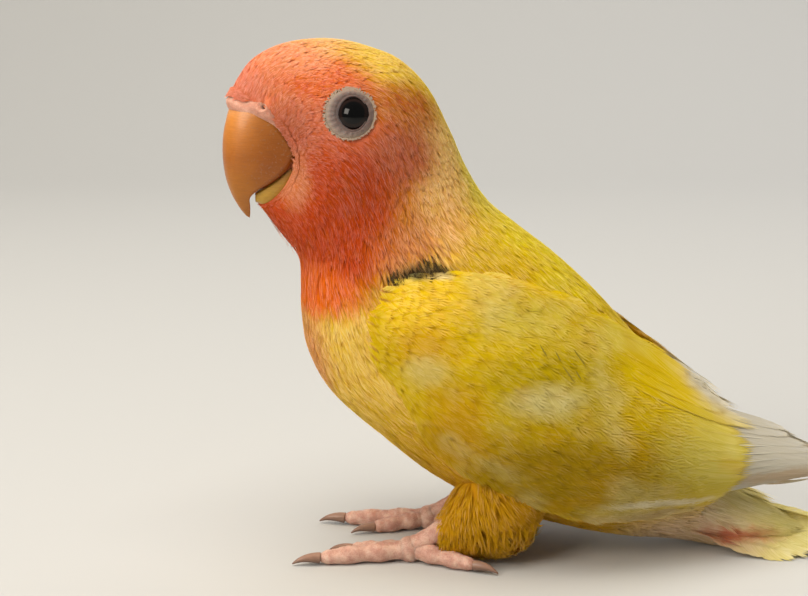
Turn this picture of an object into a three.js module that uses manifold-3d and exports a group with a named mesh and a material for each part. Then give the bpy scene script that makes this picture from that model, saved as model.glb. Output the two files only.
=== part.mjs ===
// A peach-faced lovebird, yellow with an orange-red face, standing with folded wings, life size.
// Millimetres, +Z up, the bill towards -X and the bird's left side towards -Y.
// The origin is on the floor, under the middle of the bounding box.
import * as THREE from "three";
import { mergeVertices } from "three/addons/utils/BufferGeometryUtils.js";
import Module from "manifold-3d";

const wasm = await Module();
wasm.setup();

// Driving dimensions
const GAP = 0.3; // kept between pieces that touch
const VANE_THICKNESS = 0.6;
const HEAD_TURN = THREE.MathUtils.degToRad(6); // the head looks a little to the bird's left
const NECK_PIVOT_X = -30; // the head turns about an upright line through here
const BODY_SIDES = 26;
const RINGS_PER_RUNG = 2;

// The body from the face round the neck to the root of the tail, as rungs between two outlines.
// Each rung has its top and bottom end (x, z), its half width, and how far its sides bend back.
const bodyRungs = [
  { top: [-57.4, 88.0], bottom: [-52.5, 67.9], half: 5.6, bend: 9.4 },
  { top: [-55.7, 91.2], bottom: [-51.6, 66.7], half: 7.4, bend: 9.1 },
  { top: [-53.1, 94.5], bottom: [-50.7, 65.5], half: 9.2, bend: 8.3 },
  { top: [-48.8, 96.9], bottom: [-49.4, 63.8], half: 10.8, bend: 7.0 },
  { top: [-43.4, 98.1], bottom: [-48.3, 62.3], half: 12.1, bend: 5.5 },
  { top: [-37.2, 98.1], bottom: [-47.3, 61.0], half: 13.1, bend: 3.9 },
  { top: [-31.8, 96.8], bottom: [-46.5, 60.0], half: 13.8, bend: 2.4 },
  { top: [-26.0, 94.4], bottom: [-45.9, 59.2], half: 14.2, bend: 1.1 },
  { top: [-20.8, 89.3], bottom: [-45.3, 58.3], half: 14.3, bend: 0.3 },
  { top: [-16.8, 81.8], bottom: [-44.8, 57.1], half: 14.6, bend: 0 },
  { top: [-13.3, 74.0], bottom: [-44.6, 55.4], half: 15.3, bend: 0 },
  { top: [-9.4, 68.0], bottom: [-44.6, 52.4], half: 16.4, bend: 0 },
  { top: [-3.7, 63.3], bottom: [-44.5, 47.2], half: 17.6, bend: 0 },
  { top: [3.6, 57.7], bottom: [-43.3, 39.8], half: 18.6, bend: 0 },
  { top: [11.2, 50.7], bottom: [-38.9, 31.8], half: 19.2, bend: 0 },
  { top: [17.8, 43.4], bottom: [-29.9, 23.6], half: 19.0, bend: 0 },
  { top: [23.6, 37.2], bottom: [-19.6, 15.4], half: 17.8, bend: 0 },
  { top: [28.4, 31.4], bottom: [-8.0, 9.2], half: 15.6, bend: 0 },
  { top: [32.0, 25.6], bottom: [4.6, 5.4], half: 12.8, bend: 0 },
  { top: [34.4, 20.0], bottom: [15.6, 3.4], half: 9.8, bend: 0 },
  { top: [36.0, 15.0], bottom: [25.2, 2.6], half: 7.0, bend: 0 },
];
const frontRoundness = 1.6; // how rounded the front of the head is, seen from above
const sideFullness = 0.85; // how full the sides are: 1 makes every ring an ellipse
const lastRung = bodyRungs.length - 1;

// Soft swellings and hollows of the sides of the head and body, in mm seen from the side.
const sideSwells = [
  { name: "eye hollow", x: -35, z: 86, reach: 5.5, rise: -0.8 },
  { name: "cheek", x: -37, z: 72, reach: 8, rise: 1.0 },
  { name: "neck crease", x: -20, z: 62, reach: 5, rise: -0.8 },
];

// Where the body is parted: the two ends (x, z) of each cut.
const headCut = { top: [-15.2, 77.8], bottom: [-44.7, 56.6] };
const neckCut = { top: [-6.8, 65.8], bottom: [-44.6, 50.0] };

// The eye: its place on the body's surface as rung and angle from the crown, and its sizes.
const eye = { rung: 5.6, angle: 69, ball: 4.1, openingHalfWidth: 2.45, openingHalfHeight: 2.95 };
const eyeRing = { widthAhead: 2.05, widthAbove: 1.45, shiftAhead: 0.7, rise: 0.5, depth: 1.1 };

// The upper bill, as rungs from its ridge to its inner edge (x, z), with half widths.
const upperBillRungs = [
  { ridge: [-57.3, 86.1], inner: [-45.6, 77.2], half: 5.3 },
  { ridge: [-58.0, 83.6], inner: [-46.8, 75.2], half: 5.4 },
  { ridge: [-58.6, 80.8], inner: [-48.4, 73.6], half: 5.3 },
  { ridge: [-58.8, 77.6], inner: [-50.3, 72.2], half: 4.9 },
  { ridge: [-58.6, 74.6], inner: [-52.4, 70.9], half: 4.0 },
  { ridge: [-58.1, 72.0], inner: [-53.9, 69.3], half: 2.8 },
  { ridge: [-57.1, 69.3], inner: [-53.9, 67.6], half: 1.8 },
  { ridge: [-55.8, 67.0], inner: [-53.9, 66.2], half: 1.0 },
  { ridge: [-54.7, 65.6], inner: [-54.0, 65.2], half: 0.3 },
];
const upperBillProfile = [[0, 0], [0.03, 0.3], [0.12, 0.58], [0.3, 0.83], [0.6, 0.97], [1, 1]];
// The base of the upper bill bulges back and up over the face.
const billBase = { bulge: 2.5, back: 0.605, up: 0.796 };
// The cere ends at this angle from the crown; the nostrils are pits at its edge.
const cere = { gapeAngle: 100, endAngle: 62, swell: 0.5 };
const nostril = { angle: 43, ahead: 0.5, out: 0.4, below: 0.2, radius: 0.7 };

// The lower bill, as rungs from its keel to its cutting edge.
const lowerBillRungs = [
  { ridge: [-45.4, 73.0], inner: [-46.4, 75.0], half: 4.9 },
  { ridge: [-46.8, 70.2], inner: [-48.2, 73.2], half: 4.6 },
  { ridge: [-48.9, 68.3], inner: [-50.1, 71.7], half: 4.1 },
  { ridge: [-51.2, 67.6], inner: [-51.6, 70.7], half: 3.4 },
  { ridge: [-52.9, 68.2], inner: [-52.9, 69.8], half: 2.4 },
];
const lowerBillProfile = [[0, 0], [0.06, 0.42], [0.25, 0.76], [0.6, 0.95], [1, 1]];

// The wing from its front edge to its tip, as rungs across it: upper, middle and lower (x, y, z).
const wingRungs = [
  { upper: [-23.5, 17.6, 58.0], middle: [-29.0, 19.2, 46.5], lower: [-26.5, 15.2, 34.0] },
  { upper: [-14.0, 17.4, 58.6], middle: [-19.5, 21.8, 43.5], lower: [-20.4, 15.6, 25.6] },
  { upper: [-3.0, 15.0, 56.8], middle: [-7.5, 22.6, 38.5], lower: [-10.6, 16.2, 18.2] },
  { upper: [8.0, 10.6, 51.8], middle: [4.5, 22.2, 33.0], lower: [1.0, 16.0, 13.1] },
  { upper: [18.0, 5.4, 45.0], middle: [15.5, 19.8, 28.0], lower: [14.0, 14.8, 10.2] },
  { upper: [27.6, 1.8, 37.8], middle: [27.2, 15.4, 24.0], lower: [27.0, 12.0, 11.4] },
  { upper: [36.4, 1.2, 31.4], middle: [38.0, 10.8, 21.6], lower: [38.4, 9.4, 13.8] },
  { upper: [49.0, 1.0, 24.8], middle: [50.4, 6.6, 20.0], lower: [51.0, 6.4, 16.0] },
  { upper: [59.0, 0.9, 18.8], middle: [59.2, 3.6, 17.6], lower: [59.2, 4.2, 16.6] },
];
const wingShell = { rows: 12, columns: 7, thickness: 4.6, endThickness: 0.9, taperFrom: 4.4, end: 6.3 };

// Tiers of the wing's vanes. Along and across run from 0 at the front and upper edges.
const wingTiers = [
  {
    name: "primaries", count: 6, stations: 4, width: 4.4, rise: 0.1,
    roots: { along: [5.2, 5.0], across: [0.3, 0.86] },
    tips: { along: [6.9, 7.95], across: [0.16, 0.72], bulge: 0 },
  },
  {
    name: "secondaries", count: 6, stations: 5, width: 5.2, rise: 0.5,
    roots: { along: [3.3, 3.1], across: [0.24, 0.9] },
    tips: { along: [6.1, 5.9], across: [0.2, 0.88], bulge: 0.25 },
  },
  {
    name: "tertials", count: 3, stations: 5, width: 5.0, rise: 0.8,
    roots: { along: [2.6, 2.9], across: [0.1, 0.24] },
    tips: { along: [5.0, 6.0], across: [0.07, 0.2], bulge: 0 },
  },
  {
    name: "greater coverts", count: 6, stations: 4, width: 4.6, rise: 0.8,
    roots: { along: [2.0, 1.9], across: [0.22, 0.9] },
    tips: { along: [4.0, 3.7], across: [0.24, 0.9], bulge: 0.25 },
  },
  {
    name: "median coverts", count: 5, stations: 4, width: 4.6, rise: 1.0,
    roots: { along: [0.9, 0.9], across: [0.2, 0.84] },
    tips: { along: [2.6, 2.3], across: [0.2, 0.86], bulge: 0.2 },
  },
];

// The thigh's feathered form, from the hip to the ankle: centre (x, y, z) and half sizes.
const thighRungs = [
  { centre: [1.6, 10.2, 12.5], half: [2.2, 2.6] },
  { centre: [-1.2, 10.0, 12.2], half: [5.2, 6.4] },
  { centre: [-5.0, 9.8, 11.8], half: [6.5, 8.2] },
  { centre: [-9.0, 9.6, 11.3], half: [6.6, 8.4] },
  { centre: [-12.8, 9.4, 10.4], half: [5.8, 7.4] },
  { centre: [-15.8, 9.2, 8.6], half: [4.4, 5.4] },
  { centre: [-18.0, 9.0, 6.6], half: [3.0, 3.2] },
];

// The feet: two toes point forwards and two back. Ends are (x, y) from the middle of the sole.
const sole = { x: -24, y: 9, z: 2.3, radius: 2.5 };
const rightFootBack = 4; // the right foot stands this much further back
const ankle = [4.2, 0, 2.4]; // from the middle of the sole to the tarsus's upper end
const toes = [
  { name: "outer_front", end: [-17.5, 2.4], radius: 1.75, claw: 5.6 },
  { name: "inner_front", end: [-11.5, -3.0], radius: 1.6, claw: 5.0 },
  { name: "outer_rear", end: [12.5, 6.2], radius: 1.65, claw: 5.2 },
  { name: "inner_rear", end: [6.8, -4.6], radius: 1.5, claw: 4.2 },
];
const toePads = 3;
const toeSides = 8;
const clawSides = 7;

// The tail: its root rungs, its long vanes and its coverts above and below.
const tailRungs = [
  { top: [36.5, 15.1], bottom: [25.6, 2.4], half: 6.9 },
  { top: [39.0, 13.0], bottom: [31.0, 1.7], half: 6.8 },
  { top: [43.0, 10.2], bottom: [39.0, 1.3], half: 6.4 },
  { top: [47.5, 7.6], bottom: [46.0, 1.3], half: 5.4 },
  { top: [51.0, 5.6], bottom: [50.6, 1.6], half: 4.0 },
];
const rectrices = {
  count: 12, stations: 4, rootX: 33, tipX: 59.6, tipStep: 0.3, rootSpread: 0.9, tipSpread: 1.5,
  rootZ: 10.4, rootDrop: 1.1, tipZ: 4.2, tipDrop: 0.6, width: 5.0,
};
const upperTailCoverts = {
  count: 5, stations: 4, rootX: 30, tipX: 46.5, tipStep: 0.9, rootSpread: 2.1, tipSpread: 2.6,
  rootZ: 15.4, rootDrop: 0.9, tipZ: 9.6, tipDrop: 0.9, width: 4.6,
};
const lowerTailCoverts = {
  count: 6, stations: 4, rootX: 28, tipX: 52, tipStep: 1.2, rootSpread: 1.9, tipSpread: 1.8,
  rootZ: 3.4, rootDrop: -0.5, tipZ: 1.0, tipDrop: -0.12, width: 4.6,
};

// Finishes
const finish = {
  faceFeathers: { color: 0xd9663c, roughness: 0.85 },
  neckFeathers: { color: 0xe0a050, roughness: 0.85 },
  bodyFeathers: { color: 0xe2c038, roughness: 0.85 },
  wingFeathers: { color: 0xd9bf3a, roughness: 0.8 },
  tailFeathers: { color: 0xd6c586, roughness: 0.8 },
  horn: { color: 0xc07c34, roughness: 0.4 },
  cere: { color: 0xd8b4a2, roughness: 0.6 },
  eyeball: { color: 0x140c0a, roughness: 0.1 },
  eyeSkin: { color: 0xb9a79c, roughness: 0.7 },
  footSkin: { color: 0xc79482, roughness: 0.6 },
  claw: { color: 0x8d6a56, roughness: 0.45 },
};

// General shapes

function closedGeometry(points, triangles) {
  const volume = triangles.reduce((sum, [a, b, c]) => {
    return sum + points[a].dot(new THREE.Vector3().crossVectors(points[b], points[c]));
  }, 0);
  const outward = volume < 0 ? triangles.map(([a, b, c]) => [a, c, b]) : triangles;
  const geometry = new THREE.BufferGeometry().setFromPoints(points);
  geometry.setIndex(outward.flat());
  return geometry;
}

// A tube through rings of points. Its ends meet, or are closed by strips from side to side.
function ringGeometry(rings, looped = false) {
  const size = rings[0].length;
  const triangles = [];
  const joints = looped ? rings.length : rings.length - 1;
  for (let row = 0; row < joints; row += 1) {
    const next = ((row + 1) % rings.length) * size;
    for (let i = 0; i < size; i += 1) {
      const j = (i + 1) % size;
      const [a, b] = [row * size + i, row * size + j];
      triangles.push([a, b, next + j], [a, next + j, next + i]);
    }
  }
  if (!looped) {
    const cap = [];
    for (let k = 0; 2 * k < size - 1; k += 1) {
      const [a, b, c, d] = [k, k + 1, size - k - 1, (size - k) % size];
      if (b !== c) {
        cap.push([a, b, c]);
      }
      if (a !== d) {
        cap.push([a, c, d]);
      }
    }
    const last = (rings.length - 1) * size;
    triangles.push(...cap.map((face) => face.toReversed()));
    triangles.push(...cap.map((face) => face.map((i) => i + last)));
  }
  return closedGeometry(rings.flat(), triangles);
}

// A closed sheet from two equal grids of points, split into triangles alike on both faces.
function sheetGeometry(upper, lower) {
  const rows = upper.length;
  const columns = upper[0].length;
  const points = [...upper.flat(), ...lower.flat()];
  const under = rows * columns;
  const at = (row, column) => row * columns + column;
  const triangles = [];
  for (let r = 0; r + 1 < rows; r += 1) {
    for (let c = 0; c + 1 < columns; c += 1) {
      const quad = [at(r, c), at(r, c + 1), at(r + 1, c + 1), at(r + 1, c)];
      triangles.push([quad[0], quad[1], quad[2]], [quad[0], quad[2], quad[3]]);
      triangles.push([quad[0] + under, quad[2] + under, quad[1] + under]);
      triangles.push([quad[0] + under, quad[3] + under, quad[2] + under]);
    }
  }
  const border = [];
  for (let c = 0; c + 1 < columns; c += 1) {
    border.push([at(0, c), at(0, c + 1)], [at(rows - 1, c + 1), at(rows - 1, c)]);
  }
  for (let r = 0; r + 1 < rows; r += 1) {
    border.push([at(r + 1, 0), at(r, 0)], [at(r, columns - 1), at(r + 1, columns - 1)]);
  }
  for (const [a, b] of border) {
    triangles.push([a, b + under, b], [a, a + under, b + under]);
  }
  return closedGeometry(points, triangles);
}

function toSolid(geometry) {
  const bare = geometry.clone();
  bare.deleteAttribute("normal");
  bare.deleteAttribute("uv");
  const merged = mergeVertices(bare, 1e-4);
  const mesh = new wasm.Mesh({
    numProp: 3,
    vertProperties: new Float32Array(merged.attributes.position.array),
    triVerts: new Uint32Array(merged.index.array),
  });
  return new wasm.Manifold(mesh);
}

function toGeometry(solid) {
  const mesh = solid.getMesh();
  const geometry = new THREE.BufferGeometry();
  geometry.setAttribute("position", new THREE.BufferAttribute(new Float32Array(mesh.vertProperties), 3));
  geometry.setIndex(new THREE.BufferAttribute(new Uint32Array(mesh.triVerts), 1));
  return geometry;
}

// The largest closed surface of a solid, without sealed hollows or loose scraps.
function largestPiece(solid) {
  const pieces = solid.decompose();
  return pieces.reduce((best, piece) => (piece.volume() > best.volume() ? piece : best));
}

function joined(geometries) {
  return geometries.map(toSolid).reduce((whole, part) => whole.add(part));
}

// A smooth curve through numbers that stand at 0, 1, 2 and so on.
function smoothValue(values, place) {
  const start = THREE.MathUtils.clamp(Math.floor(place), 0, values.length - 2);
  const t = place - start;
  const [b, c] = [values[start], values[start + 1]];
  const a = start > 0 ? values[start - 1] : 2 * b - c;
  const d = start + 2 < values.length ? values[start + 2] : 2 * c - b;
  const bend = 2 * a - 5 * b + 4 * c - d;
  const twist = 3 * (b - c) + d - a;
  return b + 0.5 * t * (c - a + t * (bend + t * twist));
}

function smoothPoint(points, place) {
  return points[0].map((_, axis) => smoothValue(points.map((point) => point[axis]), place));
}

function mix(range, t) {
  return range[0] + (range[1] - range[0]) * t;
}

// The body's surface

const bodyRails = {
  top: bodyRungs.map((rung) => rung.top),
  bottom: bodyRungs.map((rung) => rung.bottom),
  half: bodyRungs.map((rung) => rung.half),
  bend: bodyRungs.map((rung) => rung.bend),
};

function headTurned(point, rung) {
  const share = THREE.MathUtils.smoothstep(12 - rung, 0, 5);
  const pivot = new THREE.Vector3(NECK_PIVOT_X, 0, 0);
  return point.sub(pivot).applyAxisAngle(new THREE.Vector3(0, 0, 1), HEAD_TURN * share).add(pivot);
}

// A point of the body at a rung and an angle from its upper outline, lifted off by some mm.
function bodyPoint(rung, angle, lift = 0) {
  const top = smoothPoint(bodyRails.top, rung);
  const bottom = smoothPoint(bodyRails.bottom, rung);
  const length = Math.hypot(bottom[0] - top[0], bottom[1] - top[1]);
  const down = ((1 - Math.cos(angle)) / 2) * (1 + (2 * lift) / length) - lift / length;
  const out = Math.abs(Math.sin(angle));
  const bend = smoothValue(bodyRails.bend, rung) * out ** frontRoundness;
  const x = top[0] + (bottom[0] - top[0]) * down + bend;
  const z = top[1] + (bottom[1] - top[1]) * down;
  const swell = sideSwells.reduce((sum, { x: sx, z: sz, reach, rise }) => {
    return sum + rise * Math.exp(-((x - sx) ** 2 + (z - sz) ** 2) / reach ** 2);
  }, 0);
  const width = smoothValue(bodyRails.half, rung) + swell * out + lift;
  const y = width * Math.sign(Math.sin(angle)) * out ** sideFullness;
  return headTurned(new THREE.Vector3(x, y, z), rung);
}

function bodySolid(firstRung, endRung, lift = 0) {
  const rings = [];
  const count = (endRung - firstRung) * RINGS_PER_RUNG;
  for (let i = 0; i <= count; i += 1) {
    const rung = firstRung + i / RINGS_PER_RUNG;
    const ring = [];
    for (let side = 0; side < BODY_SIDES; side += 1) {
      ring.push(bodyPoint(rung, (side / BODY_SIDES) * 2 * Math.PI, lift));
    }
    rings.push(ring);
  }
  if (firstRung === 0 && lift > 0) {
    const faceMiddle = headTurned(new THREE.Vector3(-56, 0, 78), 0);
    rings.unshift(rings[0].map((point) => {
      const inward = faceMiddle.clone().sub(point).setY(0).normalize();
      return point.clone().addScaledVector(inward, lift * 1.3);
    }));
  }
  return toSolid(ringGeometry(rings));
}

// Keeps what lies on the head's side of a cut, or on the tail's side of it, half a gap away.
function cutAt(solid, { top, bottom }, headSide) {
  const along = new THREE.Vector2(bottom[0] - top[0], bottom[1] - top[1]).normalize();
  const towardsHead = [along.y, 0, -along.x];
  const sign = headSide ? 1 : -1;
  const normal = towardsHead.map((value) => value * sign);
  const offset = normal[0] * top[0] + normal[2] * top[1] + GAP / 2;
  return solid.trimByPlane(normal, offset);
}

// Forms between a ridge and an inner edge, such as the two halves of the bill

function ridgeSolid(rungs, profile, steps, lift = 0, baseBulge = 0) {
  const rows = (rungs.length - 1) * steps;
  const rings = [];
  for (let row = 0; row <= rows; row += 1) {
    const place = row / steps;
    const ridge = smoothPoint(rungs.map((rung) => rung.ridge), place);
    const inner = smoothPoint(rungs.map((rung) => rung.inner), place);
    const half = smoothValue(rungs.map((rung) => rung.half), place) + lift;
    const length = Math.hypot(inner[0] - ridge[0], inner[1] - ridge[1]);
    const side = (sign) => profile.map(([down, out]) => {
      const t = down * (1 + (2 * lift) / length) - lift / length;
      const bulge = baseBulge * Math.max(1 - place, 0) ** 2 * Math.sin(Math.PI * down);
      const push = bulge + (row === 0 ? 1.5 * lift : 0);
      const x = ridge[0] + (inner[0] - ridge[0]) * t + billBase.back * push;
      const z = ridge[1] + (inner[1] - ridge[1]) * t + billBase.up * push;
      return headTurned(new THREE.Vector3(x, sign * half * out, z), 0);
    });
    rings.push([...side(-1), ...side(1).slice(1).toReversed()]);
  }
  return toSolid(ringGeometry(rings));
}

// A tube along points with a radius at each, flat where it would go under the floor.
function tubeSolid(points, radii, sides) {
  const rings = points.map((point, i) => {
    const before = points[Math.max(i - 1, 0)];
    const after = points[Math.min(i + 1, points.length - 1)];
    const along = after.clone().sub(before).normalize();
    const across = new THREE.Vector3(-along.y, along.x, 0).normalize();
    const upward = new THREE.Vector3().crossVectors(along, across);
    return Array.from({ length: sides }, (_, side) => {
      const angle = ((side + 0.5) / sides) * 2 * Math.PI;
      const ringPoint = point.clone();
      ringPoint.addScaledVector(across, radii[i] * Math.cos(angle));
      ringPoint.addScaledVector(upward, radii[i] * Math.sin(angle));
      ringPoint.z = Math.max(ringPoint.z, 0);
      return ringPoint;
    });
  });
  return toSolid(ringGeometry(rings));
}

// A flat tapered vane through stations, each with its middle, its side and outward directions,
// its half width, the heights of its upper and under face, and how much its edges tilt.
function vaneSolid(stations) {
  const grid = (face) => stations.map(({ middle, side, outward, half, upper, under, tilt }) => {
    return [-1, 0, 1].map((edge) => {
      const height = (face === "upper" ? upper : under) + edge * tilt - (edge === 0 ? 0 : 0.15);
      const point = middle.clone().addScaledVector(side, edge * half).addScaledVector(outward, height);
      point.z = Math.max(point.z, 0);
      return point;
    });
  });
  return toSolid(sheetGeometry(grid("upper"), grid("under")));
}

const vaneOutline = [0.75, 1.0, 1.0, 0.85, 0.35]; // share of the width, from root to tip

function vaneWidth(t) {
  return smoothValue(vaneOutline, t * (vaneOutline.length - 1));
}

// Head: eyes, rings of bare skin round them, cere and bill

function surfaceFrame(pointAt, first, second, outwardHint) {
  const step = 0.02;
  const middle = pointAt(first, second);
  const alongFirst = pointAt(first + step, second).sub(pointAt(first - step, second)).normalize();
  const alongSecond = pointAt(first, second + step).sub(pointAt(first, second - step)).normalize();
  const outward = new THREE.Vector3().crossVectors(alongFirst, alongSecond).normalize();
  if (outward.dot(outwardHint) < 0) {
    outward.negate();
  }
  return { middle, along: alongFirst, outward };
}

// A point on the head's surface, some mm ahead of and above the middle of the eye.
function besideEye(side, frame, ahead, above) {
  const step = 0.05;
  const angle = side * THREE.MathUtils.degToRad(eye.angle);
  const offset = frame.forward.clone().multiplyScalar(ahead).addScaledVector(frame.upward, above);
  const perRung = bodyPoint(eye.rung + step, angle).sub(frame.middle).divideScalar(step);
  const perAngle = bodyPoint(eye.rung, angle + step).sub(frame.middle).divideScalar(step);
  const cross = perRung.dot(perAngle);
  const [rungLength, angleLength] = [perRung.lengthSq(), perAngle.lengthSq()];
  const scale = rungLength * angleLength - cross * cross;
  const rungShare = (offset.dot(perRung) * angleLength - offset.dot(perAngle) * cross) / scale;
  const angleShare = (offset.dot(perAngle) * rungLength - offset.dot(perRung) * cross) / scale;
  return bodyPoint(eye.rung + rungShare, angle + angleShare);
}

function eyeFrame(side) {
  const angle = side * THREE.MathUtils.degToRad(eye.angle);
  const { middle, outward } = surfaceFrame(bodyPoint, eye.rung, angle, new THREE.Vector3(0, side, 0));
  const forward = new THREE.Vector3(-1, 0, 0).projectOnPlane(outward).normalize();
  const upward = new THREE.Vector3().crossVectors(forward, outward).multiplyScalar(side).normalize();
  return { middle, outward, forward, upward };
}

function eyeballSolid(side, lift = 0) {
  const { middle, outward } = eyeFrame(side);
  const meanOpening = (eye.openingHalfWidth + eye.openingHalfHeight) / 2;
  const sunk = Math.sqrt(eye.ball ** 2 - meanOpening ** 2) - eyeRing.rise;
  const centre = middle.addScaledVector(outward, -sunk);
  const ball = new THREE.SphereGeometry(eye.ball + lift, 16, 10);
  ball.translate(centre.x, centre.y, centre.z);
  return toSolid(ball);
}

// The ring's section as share of its width from the eye's opening and height over the head.
function eyeRingSolid(side, lift = 0) {
  const frame = eyeFrame(side);
  const section = [
    [0, -lift, -eyeRing.depth - lift],
    [0, -lift, eyeRing.rise * 0.7 + lift],
    [0.25, 0, eyeRing.rise + lift],
    [0.65, 0, eyeRing.rise * 0.8 + lift],
    [1, lift, 0.05 + lift],
    [1, lift, -eyeRing.depth - lift],
  ];
  const steps = 16;
  const rings = Array.from({ length: steps }, (_, i) => {
    const turn = (i / steps) * 2 * Math.PI;
    return section.map(([share, margin, height]) => {
      const halfWidth = eye.openingHalfWidth + share * eyeRing.widthAhead + margin;
      const halfHeight = eye.openingHalfHeight + share * eyeRing.widthAbove + margin;
      const ahead = halfWidth * Math.cos(turn) + share * eyeRing.shiftAhead;
      const above = halfHeight * Math.sin(turn);
      return besideEye(side, frame, ahead, above).addScaledVector(frame.outward, height);
    });
  });
  return toSolid(ringGeometry(rings, true));
}

function upperBillSolid(lift = 0) {
  return ridgeSolid(upperBillRungs, upperBillProfile, 2, lift, billBase.bulge);
}

function nostrilPits() {
  const pits = [-1, 1].map((sign) => {
    const spot = bodyPoint(0, sign * THREE.MathUtils.degToRad(nostril.angle));
    const pit = new THREE.SphereGeometry(nostril.radius, 10, 6);
    pit.translate(spot.x - nostril.ahead, spot.y + sign * nostril.out, spot.z - nostril.below);
    return toSolid(pit);
  });
  return pits[0].add(pits[1]);
}

function cereSolid() {
  const steps = 8;
  const { ridge, inner, half } = upperBillRungs[0];
  const rings = Array.from({ length: steps + 1 }, (_, i) => {
    const share = (i / steps) * (cere.endAngle / cere.gapeAngle);
    const angle = THREE.MathUtils.degToRad(share * cere.gapeAngle);
    const width = half * Math.sqrt(1 - (1 - share) ** 2) + 0.2;
    const x = mix([ridge[0], inner[0]], share) - 0.6 * share;
    const z = mix([ridge[1], inner[1]], share) - 0.8;
    const side = (sign) => {
      const border = bodyPoint(0, sign * Math.max(angle, 0.1));
      const onBill = headTurned(new THREE.Vector3(x, sign * width, z), 0);
      const swollen = border.clone().lerp(onBill, 0.4);
      swollen.add(new THREE.Vector3(-cere.swell, sign * (cere.swell + 0.4) * Math.sqrt(share), cere.swell));
      return [border, swollen, onBill];
    };
    return [...side(-1), ...side(1).toReversed()];
  });
  return toSolid(ringGeometry(rings));
}

// Wings

const wingRails = ["upper", "middle", "lower"].map((rail) => wingRungs.map((rung) => rung[rail]));

function wingPoint(along, across, side) {
  const weights = [(1 - across) * (1 - 2 * across), 4 * across * (1 - across), across * (2 * across - 1)];
  const point = new THREE.Vector3();
  wingRails.forEach((rail, i) => {
    const [x, y, z] = smoothPoint(rail, along);
    point.addScaledVector(new THREE.Vector3(x, side * y, z), weights[i]);
  });
  return point;
}

function wingFrame(along, across, side) {
  const hint = new THREE.Vector3(0, side, 0.5);
  return surfaceFrame((a, b) => wingPoint(a, b, side), along, across, hint);
}

function wingShellSolid(side, lift = 0) {
  const { rows, columns, thickness, endThickness, taperFrom, end } = wingShell;
  const grids = [[], []];
  for (let r = 0; r < rows; r += 1) {
    const along = (r / (rows - 1)) * end;
    const depth = mix([thickness, endThickness], THREE.MathUtils.smoothstep(along, taperFrom, end));
    const row = [[], []];
    for (let c = 0; c < columns; c += 1) {
      const across = mix([-0.05 * lift, 1 + 0.05 * lift], c / (columns - 1));
      const { middle, outward } = wingFrame(along, across, side);
      const rounding = 0.9 * Math.abs(2 * across - 1) ** 8 + 0.9 * (1 - Math.min(along, 1)) ** 4;
      row[0].push(middle.clone().addScaledVector(outward, lift - rounding));
      row[1].push(middle.clone().addScaledVector(outward, -depth - lift));
    }
    grids[0].push(row[0]);
    grids[1].push(row[1]);
  }
  return toSolid(sheetGeometry(grids[0], grids[1]));
}

function wingVanes(tier, side) {
  return Array.from({ length: tier.count }, (_, i) => {
    const share = i / (tier.count - 1);
    const root = [mix(tier.roots.along, share), mix(tier.roots.across, share)];
    const bulge = tier.tips.bulge * 4 * share * (1 - share);
    const tip = [mix(tier.tips.along, share) + bulge, mix(tier.tips.across, share)];
    const stations = Array.from({ length: tier.stations }, (_, row) => {
      const t = row / (tier.stations - 1);
      const [from, to] = [mix([root[0], tip[0]], t), mix([root[1], tip[1]], t)];
      const { middle, along, outward } = wingFrame(from, to, side);
      const upper = mix([-0.5, tier.rise], Math.sqrt(t));
      return {
        middle,
        side: new THREE.Vector3().crossVectors(along, outward).multiplyScalar(side),
        outward,
        half: (tier.width / 2) * vaneWidth(t),
        upper,
        under: Math.min(upper - VANE_THICKNESS, -0.3),
        tilt: 0.3 * t,
      };
    });
    return vaneSolid(stations);
  });
}

// Legs

function thighSolid(side, back, lift = 0) {
  const sides = 14;
  const steps = 2;
  const rings = [];
  for (let row = 0; row <= (thighRungs.length - 1) * steps; row += 1) {
    const place = row / steps;
    const [x, y, z] = smoothPoint(thighRungs.map((rung) => rung.centre), place);
    const [halfY, halfZ] = smoothPoint(thighRungs.map((rung) => rung.half), place);
    rings.push(Array.from({ length: sides }, (_, i) => {
      const angle = (i / sides) * 2 * Math.PI;
      const across = side * (y + (halfY + lift) * Math.sin(angle));
      return new THREE.Vector3(x + back, across, z + (halfZ + lift) * Math.cos(angle));
    }));
  }
  return toSolid(ringGeometry(rings));
}

function toeEnds(toe, side, back) {
  const start = new THREE.Vector3(sole.x + back, side * sole.y, sole.z);
  const end = start.clone().add(new THREE.Vector3(toe.end[0], side * toe.end[1], 0));
  end.z = toe.radius * 0.78;
  return [start, end];
}

function toeSolid(toe, side, back) {
  const [start, end] = toeEnds(toe, side, back);
  const steps = 9;
  const points = [];
  const radii = [];
  for (let i = 0; i <= steps; i += 1) {
    const t = i / steps;
    points.push(start.clone().lerp(end, t));
    const pad = 1 + 0.09 * Math.cos(2 * Math.PI * toePads * t);
    radii.push(toe.radius * pad * mix([1.12, 0.82], t));
  }
  return tubeSolid(points, radii, toeSides);
}

function clawSolid(toe, side, back) {
  const [start, end] = toeEnds(toe, side, back);
  const ahead = end.clone().sub(start).setZ(0).normalize();
  const root = end.clone().addScaledVector(ahead, GAP);
  const steps = 6;
  const points = [];
  const radii = [];
  for (let i = 0; i <= steps; i += 1) {
    const t = i / steps;
    const point = root.clone().addScaledVector(ahead, toe.claw * (t - 0.18 * t * t));
    point.z = root.z + 0.9 * t - (root.z + 0.45) * t * t;
    points.push(point);
    radii.push(mix([0.62 * toe.radius, 0.14], t ** 1.3));
  }
  return tubeSolid(points, radii, clawSides);
}

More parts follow.
